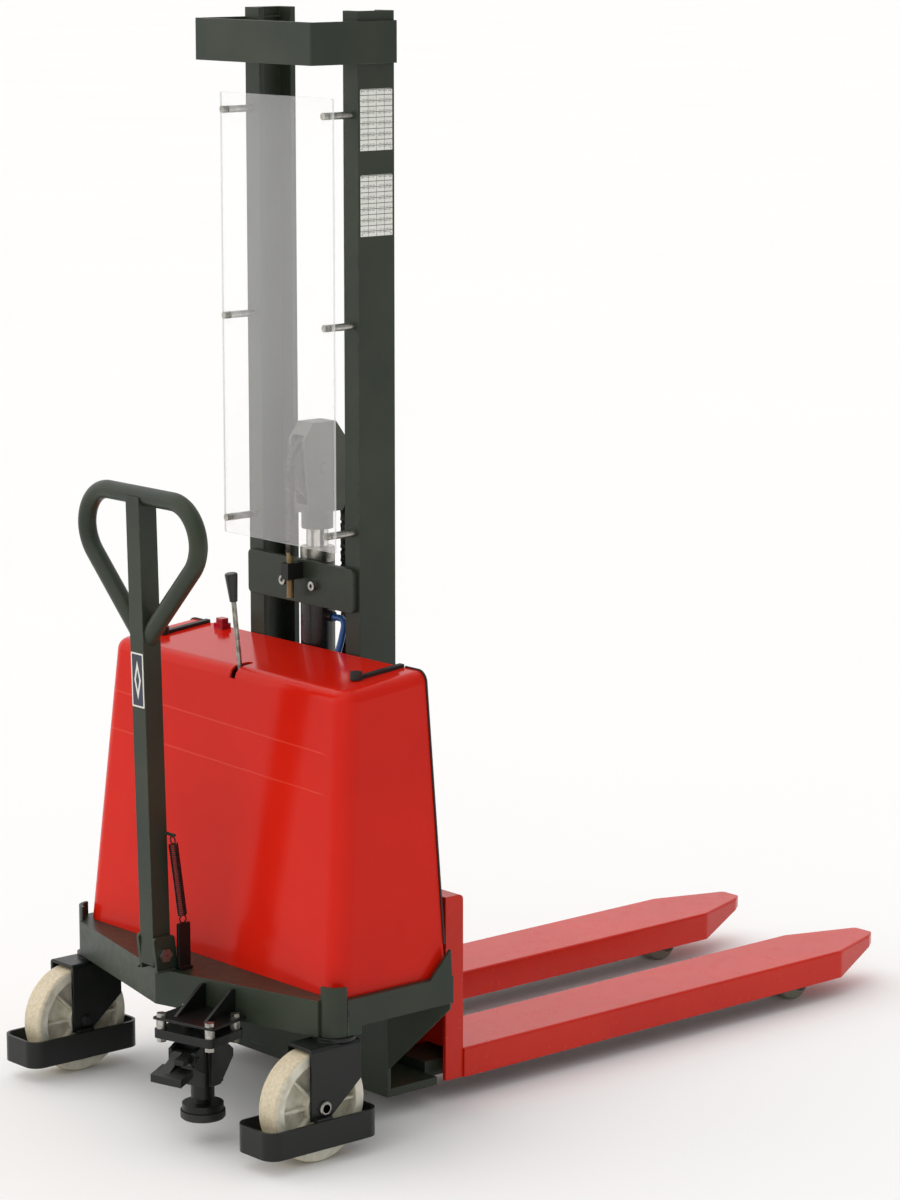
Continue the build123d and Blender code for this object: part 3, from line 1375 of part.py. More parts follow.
with BuildPart() as foot:
    with BuildSketch(lock_plane.offset(foot_rise)):
        with Locations((0, 10)):
            Circle(foot_radius)
    extrude(amount=pad_thick)
    chamfer(foot.edges().group_by(Axis.Z)[0], 3)
foot.part.label = "lock_foot"
export_step(foot.part, "parts/lock_foot.step")
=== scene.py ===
import json
from math import cos, pi, radians, sin

import bpy
from mathutils import Euler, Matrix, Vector


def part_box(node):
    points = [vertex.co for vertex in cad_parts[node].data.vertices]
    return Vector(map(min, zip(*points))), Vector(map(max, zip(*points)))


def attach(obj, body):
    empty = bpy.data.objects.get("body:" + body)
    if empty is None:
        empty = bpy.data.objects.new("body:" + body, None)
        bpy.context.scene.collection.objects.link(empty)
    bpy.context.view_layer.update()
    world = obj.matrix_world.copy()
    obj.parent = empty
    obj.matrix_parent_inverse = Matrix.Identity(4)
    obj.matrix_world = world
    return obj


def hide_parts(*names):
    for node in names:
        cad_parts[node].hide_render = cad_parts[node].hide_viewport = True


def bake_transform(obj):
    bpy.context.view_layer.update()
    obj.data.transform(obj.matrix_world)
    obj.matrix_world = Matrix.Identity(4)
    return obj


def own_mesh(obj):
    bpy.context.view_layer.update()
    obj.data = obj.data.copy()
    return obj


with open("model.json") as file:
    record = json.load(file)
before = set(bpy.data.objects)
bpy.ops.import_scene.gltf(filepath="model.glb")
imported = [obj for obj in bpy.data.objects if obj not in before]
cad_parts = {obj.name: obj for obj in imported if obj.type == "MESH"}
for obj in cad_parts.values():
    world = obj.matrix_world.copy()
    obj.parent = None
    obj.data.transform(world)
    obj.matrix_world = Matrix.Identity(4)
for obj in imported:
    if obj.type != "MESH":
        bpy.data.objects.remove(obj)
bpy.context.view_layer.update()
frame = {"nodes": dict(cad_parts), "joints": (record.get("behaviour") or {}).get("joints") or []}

bpy.ops.object.select_all(action="DESELECT")

# ---------------------------------------------------------------------------
# Studio: a wide pale floor, one broad soft lamp from the left of the viewer
# and a pale sky that darkens to the truck's right and ahead of it.
# The camera stands behind and to the right of the truck, above its tiller.
# ---------------------------------------------------------------------------
CAMERA_PLACE = (5.4007, -4.7649, 2.1906)
CAMERA_TURN = 48.970
CAMERA_DOWN = 10.484
CAMERA_LENS = 116.42


def linear(code):
    """The linear RGBA of an sRGB hex colour."""
    shares = [int(code[i:i + 2], 16) / 255 for i in (1, 3, 5)]
    light = [s / 12.92 if s <= 0.04045 else ((s + 0.055) / 1.055) ** 2.4 for s in shares]
    return tuple(light) + (1.0,)


def add(tree, kind, settings, sockets):
    """A new shader node with its settings, and its sockets set or linked."""
    fresh = tree.nodes.new(kind)
    for key, value in settings.items():
        setattr(fresh, key, value)
    for key, value in sockets.items():
        if isinstance(value, bpy.types.NodeSocket):
            tree.links.new(value, fresh.inputs[key])
        else:
            fresh.inputs[key].default_value = value
    return fresh


view = bpy.data.cameras.new("studio_camera")
view.lens = CAMERA_LENS
view.sensor_width = 36.0
view.clip_start = 0.1
view.clip_end = 400.0
camera = bpy.data.objects.new("studio_camera", view)
camera.location = CAMERA_PLACE
camera.rotation_euler = Euler((radians(90.0 - CAMERA_DOWN), 0.0, radians(CAMERA_TURN)))
bpy.context.scene.collection.objects.link(camera)
bpy.context.scene.camera = camera
bpy.context.scene.view_settings.view_transform = "Standard"

KEY_STRENGTH = 0.95
KEY_WIDTH = 95.0
KEY_HEADING = (0.52, 0.50, -0.78)
key = bpy.data.lights.new("key_lamp", "SUN")
key.energy = KEY_STRENGTH
key.angle = radians(KEY_WIDTH)
key.color = linear("#fffaf2")[:3]
key_lamp = bpy.data.objects.new("key_lamp", key)
key_lamp.rotation_euler = Vector(KEY_HEADING).to_track_quat("-Z", "Y").to_euler()
bpy.context.scene.collection.objects.link(key_lamp)

sky = bpy.data.worlds.new("studio_cove")
sky.use_nodes = True
sky.node_tree.nodes.clear()
ray = add(sky.node_tree, "ShaderNodeTexCoord", {}, {})
split = add(sky.node_tree, "ShaderNodeSeparateXYZ", {}, {"Vector": ray.outputs["Generated"]})
across = add(sky.node_tree, "ShaderNodeMath", {"operation": "MULTIPLY_ADD"},
             {0: split.outputs["X"], 1: 0.75, 2: 0.0})
along = add(sky.node_tree, "ShaderNodeMath", {"operation": "MULTIPLY_ADD"},
            {0: split.outputs["Y"], 1: 0.35, 2: across.outputs["Value"]})
dark_side = add(sky.node_tree, "ShaderNodeMapRange", {"interpolation_type": "SMOOTHSTEP"},
                {"Value": along.outputs["Value"], "From Min": 0.05, "From Max": 0.75})
shade = add(sky.node_tree, "ShaderNodeMix", {"data_type": "RGBA"},
            {0: dark_side.outputs["Result"], 6: linear("#f7f7f7"), 7: linear("#b4b4b4")})
glow = add(sky.node_tree, "ShaderNodeBackground", {}, {"Color": shade.outputs[2], "Strength": 1.0})
add(sky.node_tree, "ShaderNodeOutputWorld", {}, {"Surface": glow.outputs["Background"]})
bpy.context.scene.world = sky

bpy.ops.mesh.primitive_plane_add(size=260.0, location=(0.0, 0.0, 0.0))
floor = bpy.context.object
floor.name = "studio_floor"
floor_finish = bpy.data.materials.new("studio_paper")
floor_finish.use_nodes = True
floor_finish.node_tree.nodes.clear()
place = add(floor_finish.node_tree, "ShaderNodeTexCoord", {}, {})
cloud = add(floor_finish.node_tree, "ShaderNodeTexNoise", {},
            {"Vector": place.outputs["Object"], "Scale": 0.6})
tone = add(floor_finish.node_tree, "ShaderNodeMix", {"data_type": "RGBA"},
           {0: cloud.outputs["Fac"], 6: linear("#fbfbfb"), 7: linear("#f8f8f8")})
paper = add(floor_finish.node_tree, "ShaderNodeBsdfPrincipled", {},
            {"Base Color": tone.outputs[2], "Roughness": 0.95, "Specular IOR Level": 0.0})
add(floor_finish.node_tree, "ShaderNodeOutputMaterial", {}, {"Surface": paper.outputs["BSDF"]})
floor.data.materials.append(floor_finish)
bpy.ops.object.select_all(action="DESELECT")


# ---------------------------------------------------------------------------
# Chassis: deck tray, castor posts, base plate, upright wall and the two
# straddle legs. Folded and welded steel plate, powder coated dark olive.
# ---------------------------------------------------------------------------
OLIVE = "#333a2d"
OLIVE_DEEP = "#283027"
OLIVE_RUBBED = "#5f6856"
PEEL_MM = 2.6
EDGE_MM = 1.8
CLOUD_MM = 180.0
SCUFF_MM = 22.0


def begin(name):
    """A new material with an empty node tree and an Object coordinate node."""
    finish = bpy.data.materials.new(name)
    finish.use_nodes = True
    finish.node_tree.nodes.clear()
    return finish, finish.node_tree, add(finish.node_tree, "ShaderNodeTexCoord", {}, {})


def coat(finish, *names):
    """Gives CAD nodes or new pieces one finish in every slot."""
    for name in names:
        piece = frame["nodes"].get(name) or bpy.data.objects[name]
        if not piece.material_slots:
            piece.data.materials.append(finish)
        for place in piece.material_slots:
            place.link = "OBJECT"
            place.material = finish


def coated_steel(name, body, deep, wear_and_highlight, roughness, gloss, wear):
    """Sprayed or powder-coated steel: orange peel, clouded tone, rubbed corners and dull scuffs."""
    finish, tree, coords = begin(name)
    where = coords.outputs["Object"]
    clouds = add(tree, "ShaderNodeTexNoise", {},
                 {"Vector": where, "Scale": 1000.0 / CLOUD_MM, "Detail": 4.0})
    scuffs = add(tree, "ShaderNodeTexNoise", {},
                 {"Vector": where, "Scale": 1000.0 / SCUFF_MM, "Detail": 6.0, "Roughness": 0.7})
    peel = add(tree, "ShaderNodeTexNoise", {},
               {"Vector": where, "Scale": 1000.0 / PEEL_MM, "Detail": 1.0})
    rounded = add(tree, "ShaderNodeBevel", {"samples": 6}, {"Radius": EDGE_MM / 1000.0})
    flat = add(tree, "ShaderNodeNewGeometry", {}, {})
    same = add(tree, "ShaderNodeVectorMath", {"operation": "DOT_PRODUCT"},
               {0: rounded.outputs["Normal"], 1: flat.outputs["Normal"]})
    corner = add(tree, "ShaderNodeMapRange", {},
                 {"Value": same.outputs["Value"], "From Min": 0.985, "From Max": 0.86,
                  "To Max": wear})
    patch = add(tree, "ShaderNodeMapRange", {},
                {"Value": scuffs.outputs["Fac"], "From Min": 0.44, "From Max": 0.58})
    rub = add(tree, "ShaderNodeMath", {"operation": "MULTIPLY"},
              {0: corner.outputs["Result"], 1: patch.outputs["Result"]})
    spread = add(tree, "ShaderNodeMapRange", {},
                 {"Value": clouds.outputs["Fac"], "From Min": 0.32, "From Max": 0.68})
    tone = add(tree, "ShaderNodeMix", {"data_type": "RGBA"},
               {0: spread.outputs["Result"], 6: linear(deep), 7: linear(body)})
    worn = add(tree, "ShaderNodeMix", {"data_type": "RGBA"},
               {0: rub.outputs["Value"], 6: tone.outputs[2], 7: linear(wear_and_highlight)})
    dull = add(tree, "ShaderNodeMapRange", {},
               {"Value": scuffs.outputs["Fac"], "From Min": 0.35, "From Max": 0.75,
                "To Min": roughness - 0.05, "To Max": roughness + 0.10})
    skin = add(tree, "ShaderNodeBump", {},
               {"Strength": 0.10, "Distance": 0.0004, "Height": peel.outputs["Fac"],
                "Normal": rounded.outputs["Normal"]})
    paint = add(tree, "ShaderNodeBsdfPrincipled", {},
                {"Base Color": worn.outputs[2], "Roughness": dull.outputs["Result"], "IOR": 1.5,
                 "Specular IOR Level": gloss, "Normal": skin.outputs["Normal"]})
    add(tree, "ShaderNodeOutputMaterial", {}, {"Surface": paint.outputs["BSDF"]})
    return finish


# Olive polyester powder coat: satin, a little lighter where hands and boots have rubbed it.
olive_coat = coated_steel("olive_powder_coat", OLIVE, OLIVE_DEEP, OLIVE_RUBBED, 0.36, 0.28, 0.55)
coat(olive_coat, "chassis_deck", "castor_posts", "base_plate", "base_wall", "straddle_legs")

# ---------------------------------------------------------------------------
# Mast: two rolled channels, the bolted crossbeam, ram clamp and top frame,
# coated with the chassis in one batch.
# ---------------------------------------------------------------------------
coat(olive_coat, "mast_upright_left", "mast_upright_right", "mast_crossbeam", "ram_clamp",
     "mast_top_frame")


def pick(piece, test):
    """Opens a piece for editing with only the vertices selected whose place passes the test."""
    if bpy.context.mode != "OBJECT":
        bpy.ops.object.mode_set(mode="OBJECT")
    bpy.ops.object.select_all(action="DESELECT")
    bpy.context.view_layer.objects.active = piece
    piece.select_set(True)
    bpy.ops.object.mode_set(mode="EDIT")
    bpy.ops.mesh.select_mode(type="VERT")
    bpy.ops.mesh.select_all(action="DESELECT")
    bpy.ops.object.mode_set(mode="OBJECT")
    for corner in piece.data.vertices:
        corner.select = test(corner.co)
    bpy.ops.object.mode_set(mode="EDIT")


def settle(piece, name, body, finish, smooth=35.0):
    """Names a piece, applies its place and its modifiers, shades it and lets it ride on a body."""
    bpy.ops.object.select_all(action="DESELECT")
    bpy.context.view_layer.objects.active = piece
    piece.select_set(True)
    piece.name = name
    bpy.ops.object.transform_apply(location=True, rotation=True, scale=True)
    for change in list(piece.modifiers):
        bpy.ops.object.modifier_apply(modifier=change.name)
    bpy.ops.object.mode_set(mode="EDIT")
    bpy.ops.mesh.select_all(action="SELECT")
    bpy.ops.mesh.normals_make_consistent(inside=False)
    bpy.ops.object.mode_set(mode="OBJECT")
    bpy.ops.object.shade_smooth_by_angle(angle=radians(smooth))
    coat(finish, name)
    if body:
        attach(piece, body)
    piece.select_set(False)
    return piece


# Weld beads: overlapping drops of weld metal, coated over. Each is drawn as one flattened
# drop repeated along the seam at the step that a hand-held torch leaves.
DROP_STEP = 0.0042


def weld_bead(name, body, start, end, radius):
    """A scalloped weld bead between two points."""
    run = Vector(end) - Vector(start)
    bpy.ops.mesh.primitive_uv_sphere_add(segments=10, ring_count=6, radius=radius, location=start)
    bead = bpy.context.object
    pick(bead, lambda co: True)
    bpy.ops.transform.resize(value=(1.0, 1.0, 0.8))
    bpy.ops.object.mode_set(mode="OBJECT")
    row = bead.modifiers.new("row", "ARRAY")
    row.count = max(2, int(run.length / DROP_STEP))
    row.use_relative_offset = False
    row.use_constant_offset = True
    row.constant_offset_displace = run / row.count
    return settle(bead, name, body, olive_coat, 60.0)


def low(node):
    """Lowest corner of a CAD node at rest."""
    return Vector(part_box(node)[0])


def high(node):
    """Highest corner of a CAD node at rest."""
    return Vector(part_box(node)[1])


mast_rear = low("mast_upright_right").y
mast_front = high("mast_upright_right").y
mast_side = high("mast_upright_right").x
frame_low = low("mast_top_frame")
frame_high = high("mast_top_frame")
for word, side in (("right", 1), ("left", -1)):
    edge = side * (mast_side - 0.001)
    weld_bead(f"weld_top_frame_{word}_low", "chassis",
              (edge, mast_rear + 0.006, frame_low.z), (edge, mast_front - 0.006, frame_low.z),
              0.0028)
    weld_bead(f"weld_mast_cap_{word}", "chassis",
              (side * (mast_side - 0.012), mast_rear + 0.010, frame_high.z - 0.001),
              (side * (mast_side - 0.012), mast_front - 0.010, frame_high.z - 0.001), 0.0026)

# Two data plates on the right channel's web: printed aluminium, white with dark rules
# and generic rows in place of any wording, each held by four small rivets.
PLATE_WIDE = 0.074
PLATE_THICK = 0.0007
PLATE_TALL = 0.108
CHART_HIGH = 1.781
DATA_HIGH = 1.631
RIVET_RADIUS = 0.0016
RIVET_INSET = 0.004
plate_finish, tree, coords = begin("printed_aluminium_plate")
# White enamel print on aluminium: flat white, thin dark rules, slightly glossy.
rows = add(tree, "ShaderNodeTexBrick", {"offset": 0.0, "squash": 1.0},
           {"Vector": coords.outputs["UV"], "Color1": linear("#e9e9e2"),
            "Color2": linear("#dfe0d8"),
            "Mortar": linear("#4b4d4a"), "Scale": 1.0, "Mortar Size": 0.006, "Mortar Smooth": 0.2,
            "Brick Width": 0.25, "Row Height": 0.09})
marks = add(tree, "ShaderNodeTexBrick", {"offset": 0.37, "squash": 0.6},
            {"Vector": coords.outputs["UV"], "Color1": linear("#3c3e3c"),
             "Color2": linear("#8b8c87"),
             "Mortar": linear("#ffffff"), "Scale": 1.0, "Mortar Size": 0.016, "Mortar Smooth": 0.1,
             "Brick Width": 0.17, "Row Height": 0.045})
field = add(tree, "ShaderNodeSeparateXYZ", {}, {"Vector": coords.outputs["UV"]})
inner = add(tree, "ShaderNodeMath", {"operation": "PINGPONG"}, {0: field.outputs["X"], 1: 0.25})
column = add(tree, "ShaderNodeMath", {"operation": "GREATER_THAN"},
             {0: inner.outputs["Value"], 1: 0.055})
band = add(tree, "ShaderNodeMath", {"operation": "PINGPONG"}, {0: field.outputs["Y"], 1: 0.09})
line = add(tree, "ShaderNodeMath", {"operation": "GREATER_THAN"},
           {0: band.outputs["Value"], 1: 0.045})
both = add(tree, "ShaderNodeMath", {"operation": "MULTIPLY"},
           {0: column.outputs["Value"], 1: line.outputs["Value"]})
faint = add(tree, "ShaderNodeMath", {"operation": "MULTIPLY"}, {0: both.outputs["Value"], 1: 0.6})
print_tone = add(tree, "ShaderNodeMix", {"data_type": "RGBA", "blend_type": "MULTIPLY"},
                 {0: faint.outputs["Value"], 6: rows.outputs["Color"], 7: marks.outputs["Color"]})
soil = add(tree, "ShaderNodeTexNoise", {},
           {"Vector": coords.outputs["Object"], "Scale": 1000.0 / 25.0, "Detail": 4.0})
gloss = add(tree, "ShaderNodeMapRange", {},
            {"Value": soil.outputs["Fac"], "To Min": 0.25, "To Max": 0.45})
skin = add(tree, "ShaderNodeBump", {},
           {"Strength": 0.05, "Distance": 0.0003, "Height": soil.outputs["Fac"]})
printed = add(tree, "ShaderNodeBsdfPrincipled", {},
              {"Base Color": print_tone.outputs[2], "Roughness": gloss.outputs["Result"],
               "Normal": skin.outputs["Normal"]})
add(tree, "ShaderNodeOutputMaterial", {}, {"Surface": printed.outputs["BSDF"]})


def thin_plate(name, body, finish, centre, wide, tall, thick, turn, corner=0.003):
    """A thin plate with rounded corners that lies on a face, with a UV map from 0 to 1."""
    bpy.ops.mesh.primitive_cube_add(size=1.0)
    plate = bpy.context.object
    pick(plate, lambda co: True)
    bpy.ops.transform.resize(value=(wide, thick, tall))
    bpy.ops.object.mode_set(mode="OBJECT")
    soften = plate.modifiers.new("corners", "BEVEL")
    soften.width = corner
    soften.segments = 4
    soften.limit_method = "WEIGHT"
    weights = plate.data.attributes.new("bevel_weight_edge", "FLOAT", "EDGE")
    for number, edge in enumerate(plate.data.edges):
        ends = [plate.data.vertices[v].co for v in edge.vertices]
        weights.data[number].value = 1.0 if abs(ends[0].y - ends[1].y) > thick / 2 else 0.0
    bpy.ops.object.modifier_apply(modifier="corners")
    sheet_map = plate.data.uv_layers.active or plate.data.uv_layers.new(name="print")
    for loop in plate.data.loops:
        co = plate.data.vertices[loop.vertex_index].co
        sheet_map.data[loop.index].uv = (co.x / wide + 0.5, co.z / tall + 0.5)
    plate.rotation_euler = turn
    plate.location = centre
    return settle(plate, name, body, finish, 30.0)


def rivets(name, body, centre, wide, tall, across, out):
    """Four domed rivets at the corners of a plate, as one piece."""
    heads = []
    for a in (-1, 1):
        for b in (-1, 1):
            sideways = Vector(across) * a * (wide / 2 - RIVET_INSET)
            spot = Vector(centre) + sideways + Vector((0, 0, b * (tall / 2 - RIVET_INSET)))
            bpy.ops.mesh.primitive_uv_sphere_add(segments=12, ring_count=8, radius=RIVET_RADIUS,
                                                 location=spot)
            heads.append(bpy.context.object)
            pick(heads[-1], lambda co: True)
            flat = [0.45 if abs(v) > 0.5 else 1.0 for v in out]
            bpy.ops.transform.resize(value=flat)
            bpy.ops.object.mode_set(mode="OBJECT")
    bpy.ops.object.select_all(action="DESELECT")
    for head in heads:
        head.select_set(True)
    bpy.context.view_layer.objects.active = heads[0]
    bpy.ops.object.join()
    return settle(bpy.context.object, name, body, zinc_plate, 60.0)


web_middle = (mast_rear + mast_front) / 2

# ---------------------------------------------------------------------------
# Fasteners: zinc-plated bolts of the crossbeam and the lock, the screen's pegs
# with their caps and the tiller's pin, and the data plates with their rivets.
# ---------------------------------------------------------------------------
ZINC = "#b9b8b1"
ZINC_DULL = "#8c8b84"
TURNING_MM = 0.9


def bare_metal(name, bright, dull, roughness, grain_mm, stretch=(1.0, 1.0, 1.0), tarnish_mm=12.0):
    """Bare or plated metal: fine directional grain in bump, cloudy tarnish in colour and gloss."""
    finish, tree, coords = begin(name)
    turned = add(tree, "ShaderNodeMapping", {},
                 {"Vector": coords.outputs["Object"], "Scale": stretch})
    grain = add(tree, "ShaderNodeTexNoise", {},
                {"Vector": turned.outputs["Vector"], "Scale": 1000.0 / grain_mm, "Detail": 2.0})
    tarnish = add(tree, "ShaderNodeTexNoise", {},
                  {"Vector": coords.outputs["Object"], "Scale": 1000.0 / tarnish_mm, "Detail": 5.0})
    spots = add(tree, "ShaderNodeMapRange", {},
                {"Value": tarnish.outputs["Fac"], "From Min": 0.38, "From Max": 0.66})
    tone = add(tree, "ShaderNodeMix", {"data_type": "RGBA"},
               {0: spots.outputs["Result"], 6: linear(bright), 7: linear(dull)})
    gloss = add(tree, "ShaderNodeMapRange", {},
                {"Value": tarnish.outputs["Fac"], "From Min": 0.3, "From Max": 0.7,
                 "To Min": roughness * 0.8, "To Max": roughness * 1.35})
    lay = add(tree, "ShaderNodeBump", {},
              {"Strength": 0.12, "Distance": 0.0002, "Height": grain.outputs["Fac"]})
    metal = add(tree, "ShaderNodeBsdfPrincipled", {},
                {"Base Color": tone.outputs[2], "Metallic": 1.0,
                 "Roughness": gloss.outputs["Result"],
                 "Normal": lay.outputs["Normal"]})
    add(tree, "ShaderNodeOutputMaterial", {}, {"Surface": metal.outputs["BSDF"]})
    return finish


# Bright zinc plate: pale and slightly blue-grey, with duller clouds.
zinc_plate = bare_metal("zinc_plated_steel", ZINC, ZINC_DULL, 0.32, TURNING_MM)
coat(zinc_plate, "crossbeam_bolts", "guard_standoffs", "lock_bolts", "tiller_pin")
for word, middle in (("chart", CHART_HIGH), ("data", DATA_HIGH)):
    spot = (mast_side + PLATE_THICK / 2, web_middle, middle)
    thin_plate(f"{word}_plate", "chassis", plate_finish, spot, PLATE_WIDE, PLATE_TALL, PLATE_THICK,
               (0.0, 0.0, pi / 2))
    rivets(f"{word}_plate_rivets", "chassis", (mast_side + PLATE_THICK, web_middle, middle),
           PLATE_WIDE, PLATE_TALL, (0, 1, 0), (1, 0, 0))

# ---------------------------------------------------------------------------
# Lift ram: black-enamelled cylinder tube with a turned gland, a hard-chromed
# rod, and the cast sheave head on top of it.
# ---------------------------------------------------------------------------
# Black enamel on the tube, the oil tank and the valve block: smooth, with an oily sheen.
ram_enamel = coated_steel("ram_black_enamel", "#1b1d1b", "#141615", "#3a3d39", 0.28, 0.5, 0.4)
coat(ram_enamel, "ram_cylinder", "oil_tank", "valve_block")
# Turned steel gland nut: bright, with rings from the tool.
turned_steel = bare_metal("turned_steel", "#a7a59c", "#7b7972", 0.3, 0.8, (0.2, 0.2, 6.0))
coat(turned_steel, "ram_gland", "control_lever")
# Hard chrome: near mirror, a faint film of oil.
hard_chrome = bare_metal("hard_chrome", "#d2d2cc", "#b8b6ac", 0.12, 1.2, (1.0, 1.0, 0.1), 30.0)
coat(hard_chrome, "piston_rod")
# Cast iron sheave head and pulley under grey enamel, matt and slightly rough.
cast_grey = coated_steel("cast_iron_grey_enamel", "#5d6056", "#4c4f46", "#7c7f74", 0.45, 0.4, 0.5)
coat(cast_grey, "sheave_head", "chain_sheave")

# ---------------------------------------------------------------------------
# Screen: one sheet of clear acrylic on six pegs, edges sawn and polished.
# ---------------------------------------------------------------------------
screen_finish, tree, coords = begin("clear_acrylic_sheet")
# Clear acrylic: water clear with a faint grey film and hairline scratches.
wipe = add(tree, "ShaderNodeMapping", {},
           {"Vector": coords.outputs["Object"], "Scale": (1.0, 1.0, 0.06)})
hair = add(tree, "ShaderNodeTexNoise", {},
           {"Vector": wipe.outputs["Vector"], "Scale": 1000.0 / 4.0, "Detail": 4.0})
film = add(tree, "ShaderNodeMapRange", {},
           {"Value": hair.outputs["Fac"], "From Min": 0.4, "From Max": 0.7, "To Min": 0.02,
            "To Max": 0.10})
facing = add(tree, "ShaderNodeNewGeometry", {}, {})
sides = add(tree, "ShaderNodeSeparateXYZ", {}, {"Vector": facing.outputs["Normal"]})
broad = add(tree, "ShaderNodeMath", {"operation": "ABSOLUTE"}, {0: sides.outputs["Y"]})
edge = add(tree, "ShaderNodeMapRange", {},
           {"Value": broad.outputs["Value"], "From Min": 0.9, "From Max": 0.2})
tint = add(tree, "ShaderNodeMix", {"data_type": "RGBA"},
           {0: edge.outputs["Result"], 6: linear("#ffffff"), 7: linear("#dfe4e0")})
through = add(tree, "ShaderNodeBsdfTransparent", {}, {"Color": tint.outputs[2]})
sheen = add(tree, "ShaderNodeBsdfPrincipled", {},
            {"Base Color": linear("#ffffff"), "Roughness": film.outputs["Result"], "IOR": 1.49})
veil = add(tree, "ShaderNodeMapRange", {},
           {"Value": edge.outputs["Result"], "To Min": 0.15, "To Max": 0.45})
sheet = add(tree, "ShaderNodeMixShader", {},
            {0: veil.outputs["Result"], 1: through.outputs["BSDF"], 2: sheen.outputs["BSDF"]})
add(tree, "ShaderNodeOutputMaterial", {}, {"Surface": sheet.outputs["Shader"]})
coat(screen_finish, "guard_screen")

# ---------------------------------------------------------------------------
# Lift chain: a leaf chain from the threaded anchor on the crossbeam, over
# the sheave, and down to the carriage.
# ---------------------------------------------------------------------------
# Oiled spring-steel plates: dark blue-black, in darker clouds.
chain_steel = bare_metal("oiled_chain_steel", "#55534c", "#2f2e2a", 0.38, 1.5)
# Leaf chain of 12.7 mm pitch: four leaves to a row, the rows in turn, on 4.6 mm pins.
LEAF_HALF = 0.0056
LEAF_THICK = 0.0018
LEAF_WAIST = 0.70
LEAF_SLACK = 1.06
TWO_ROWS = 0.0254
PIN_RADIUS = 0.0023
PIN_LENGTH = 0.0158


def chain_row(pitch, shift):
    """One row of leaves and its lower pin: the row stands up from the origin by one pitch."""
    bpy.ops.object.select_all(action="DESELECT")
    bpy.ops.mesh.primitive_cylinder_add(vertices=16, radius=LEAF_HALF, depth=LEAF_THICK,
                                        rotation=(0, pi / 2, 0))
    leaf = bpy.context.object
    bpy.ops.object.transform_apply(location=False, rotation=True, scale=False)
    pick(leaf, lambda co: abs(co.z) < 1e-5)
    bpy.ops.transform.resize(value=(1.0, LEAF_WAIST, 1.0))
    pick(leaf, lambda co: co.z > 1e-5)
    bpy.ops.transform.translate(value=(0, 0, pitch / 2))
    pick(leaf, lambda co: co.z < -1e-5)
    bpy.ops.transform.translate(value=(0, 0, -pitch / 2))
    bpy.ops.object.mode_set(mode="OBJECT")
    leaf.location = (shift - 3 * LEAF_THICK * LEAF_SLACK, 0, pitch / 2)
    bpy.ops.object.transform_apply(location=True, rotation=False, scale=False)
    stack = leaf.modifiers.new("stack", "ARRAY")
    stack.count = 4
    stack.use_relative_offset = False
    stack.use_constant_offset = True
    stack.constant_offset_displace = (2 * LEAF_THICK * LEAF_SLACK, 0, 0)
    bpy.ops.object.modifier_apply(modifier="stack")
    bpy.ops.mesh.primitive_cylinder_add(vertices=10, radius=PIN_RADIUS, depth=PIN_LENGTH,
                                        rotation=(0, pi / 2, 0))
    leaf.select_set(True)
    bpy.context.view_layer.objects.active = leaf
    bpy.ops.object.join()
    return bpy.context.object


def chain_run(name, body, place, length, node):
    """A straight hanging run of chain from a place down by its length."""
    pairs = round(length / TWO_ROWS)
    pitch = length / pairs / 2
    first = chain_row(pitch, 0.0)
    second = chain_row(pitch, LEAF_THICK * LEAF_SLACK)
    second.location = (0, 0, pitch)
    bpy.ops.object.select_all(action="DESELECT")
    first.select_set(True)
    second.select_set(True)
    bpy.context.view_layer.objects.active = first
    bpy.ops.object.join()
    run = bpy.context.object
    run.location = Vector(place) - Vector((0, 0, 2 * pitch))
    row = run.modifiers.new("run", "ARRAY")
    row.count = pairs
    row.use_relative_offset = False
    row.use_constant_offset = True
    row.constant_offset_displace = (0, 0, -2 * pitch)
    settle(run, name, body, chain_steel)
    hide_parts(node)
    return run


sheave_middle = Vector((0.0, (low("chain_sheave").y + high("chain_sheave").y) / 2,
                        (low("chain_sheave").z + high("chain_sheave").z) / 2))
front_low, front_high = low("lift_chain_front"), high("lift_chain_front")
front_y = (front_low.y + front_high.y) / 2
front_run = chain_run("leaf_chain_front", "ram", (0, front_y, front_high.z),
                      front_high.z - front_low.z, "lift_chain_front")
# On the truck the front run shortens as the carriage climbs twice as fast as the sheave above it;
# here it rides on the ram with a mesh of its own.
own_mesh(front_run)
rear_low, rear_high = low("lift_chain_rear"), high("lift_chain_rear")
rear_y = (rear_low.y + rear_high.y) / 2
rear_run = chain_run("leaf_chain_rear", None, (0, rear_y, rear_high.z), rear_high.z - rear_low.z,
                     "lift_chain_rear")
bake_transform(rear_run)
# Over the sheave the rows follow the groove, each turned on by an equal angle.
GROOVE_ROWS = 16
groove = (rear_y - front_y) / -2
chord = 2 * groove * sin(pi / GROOVE_ROWS / 2)
rows_over = []
for number in range(GROOVE_ROWS):
    one = chain_row(chord, (number % 2) * LEAF_THICK * LEAF_SLACK)
    angle = pi * number / GROOVE_ROWS
    one.rotation_euler = (-angle - pi / GROOVE_ROWS / 2, 0, 0)
    one.location = sheave_middle + Vector((0, -groove * cos(angle), groove * sin(angle)))
    rows_over.append(one)
bpy.ops.object.select_all(action="DESELECT")
for one in rows_over:
    one.select_set(True)
bpy.context.view_layer.objects.active = rows_over[0]
bpy.ops.object.join()
over = settle(bpy.context.object, "leaf_chain_over_sheave", "ram", chain_steel)
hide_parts("lift_chain_wrap")
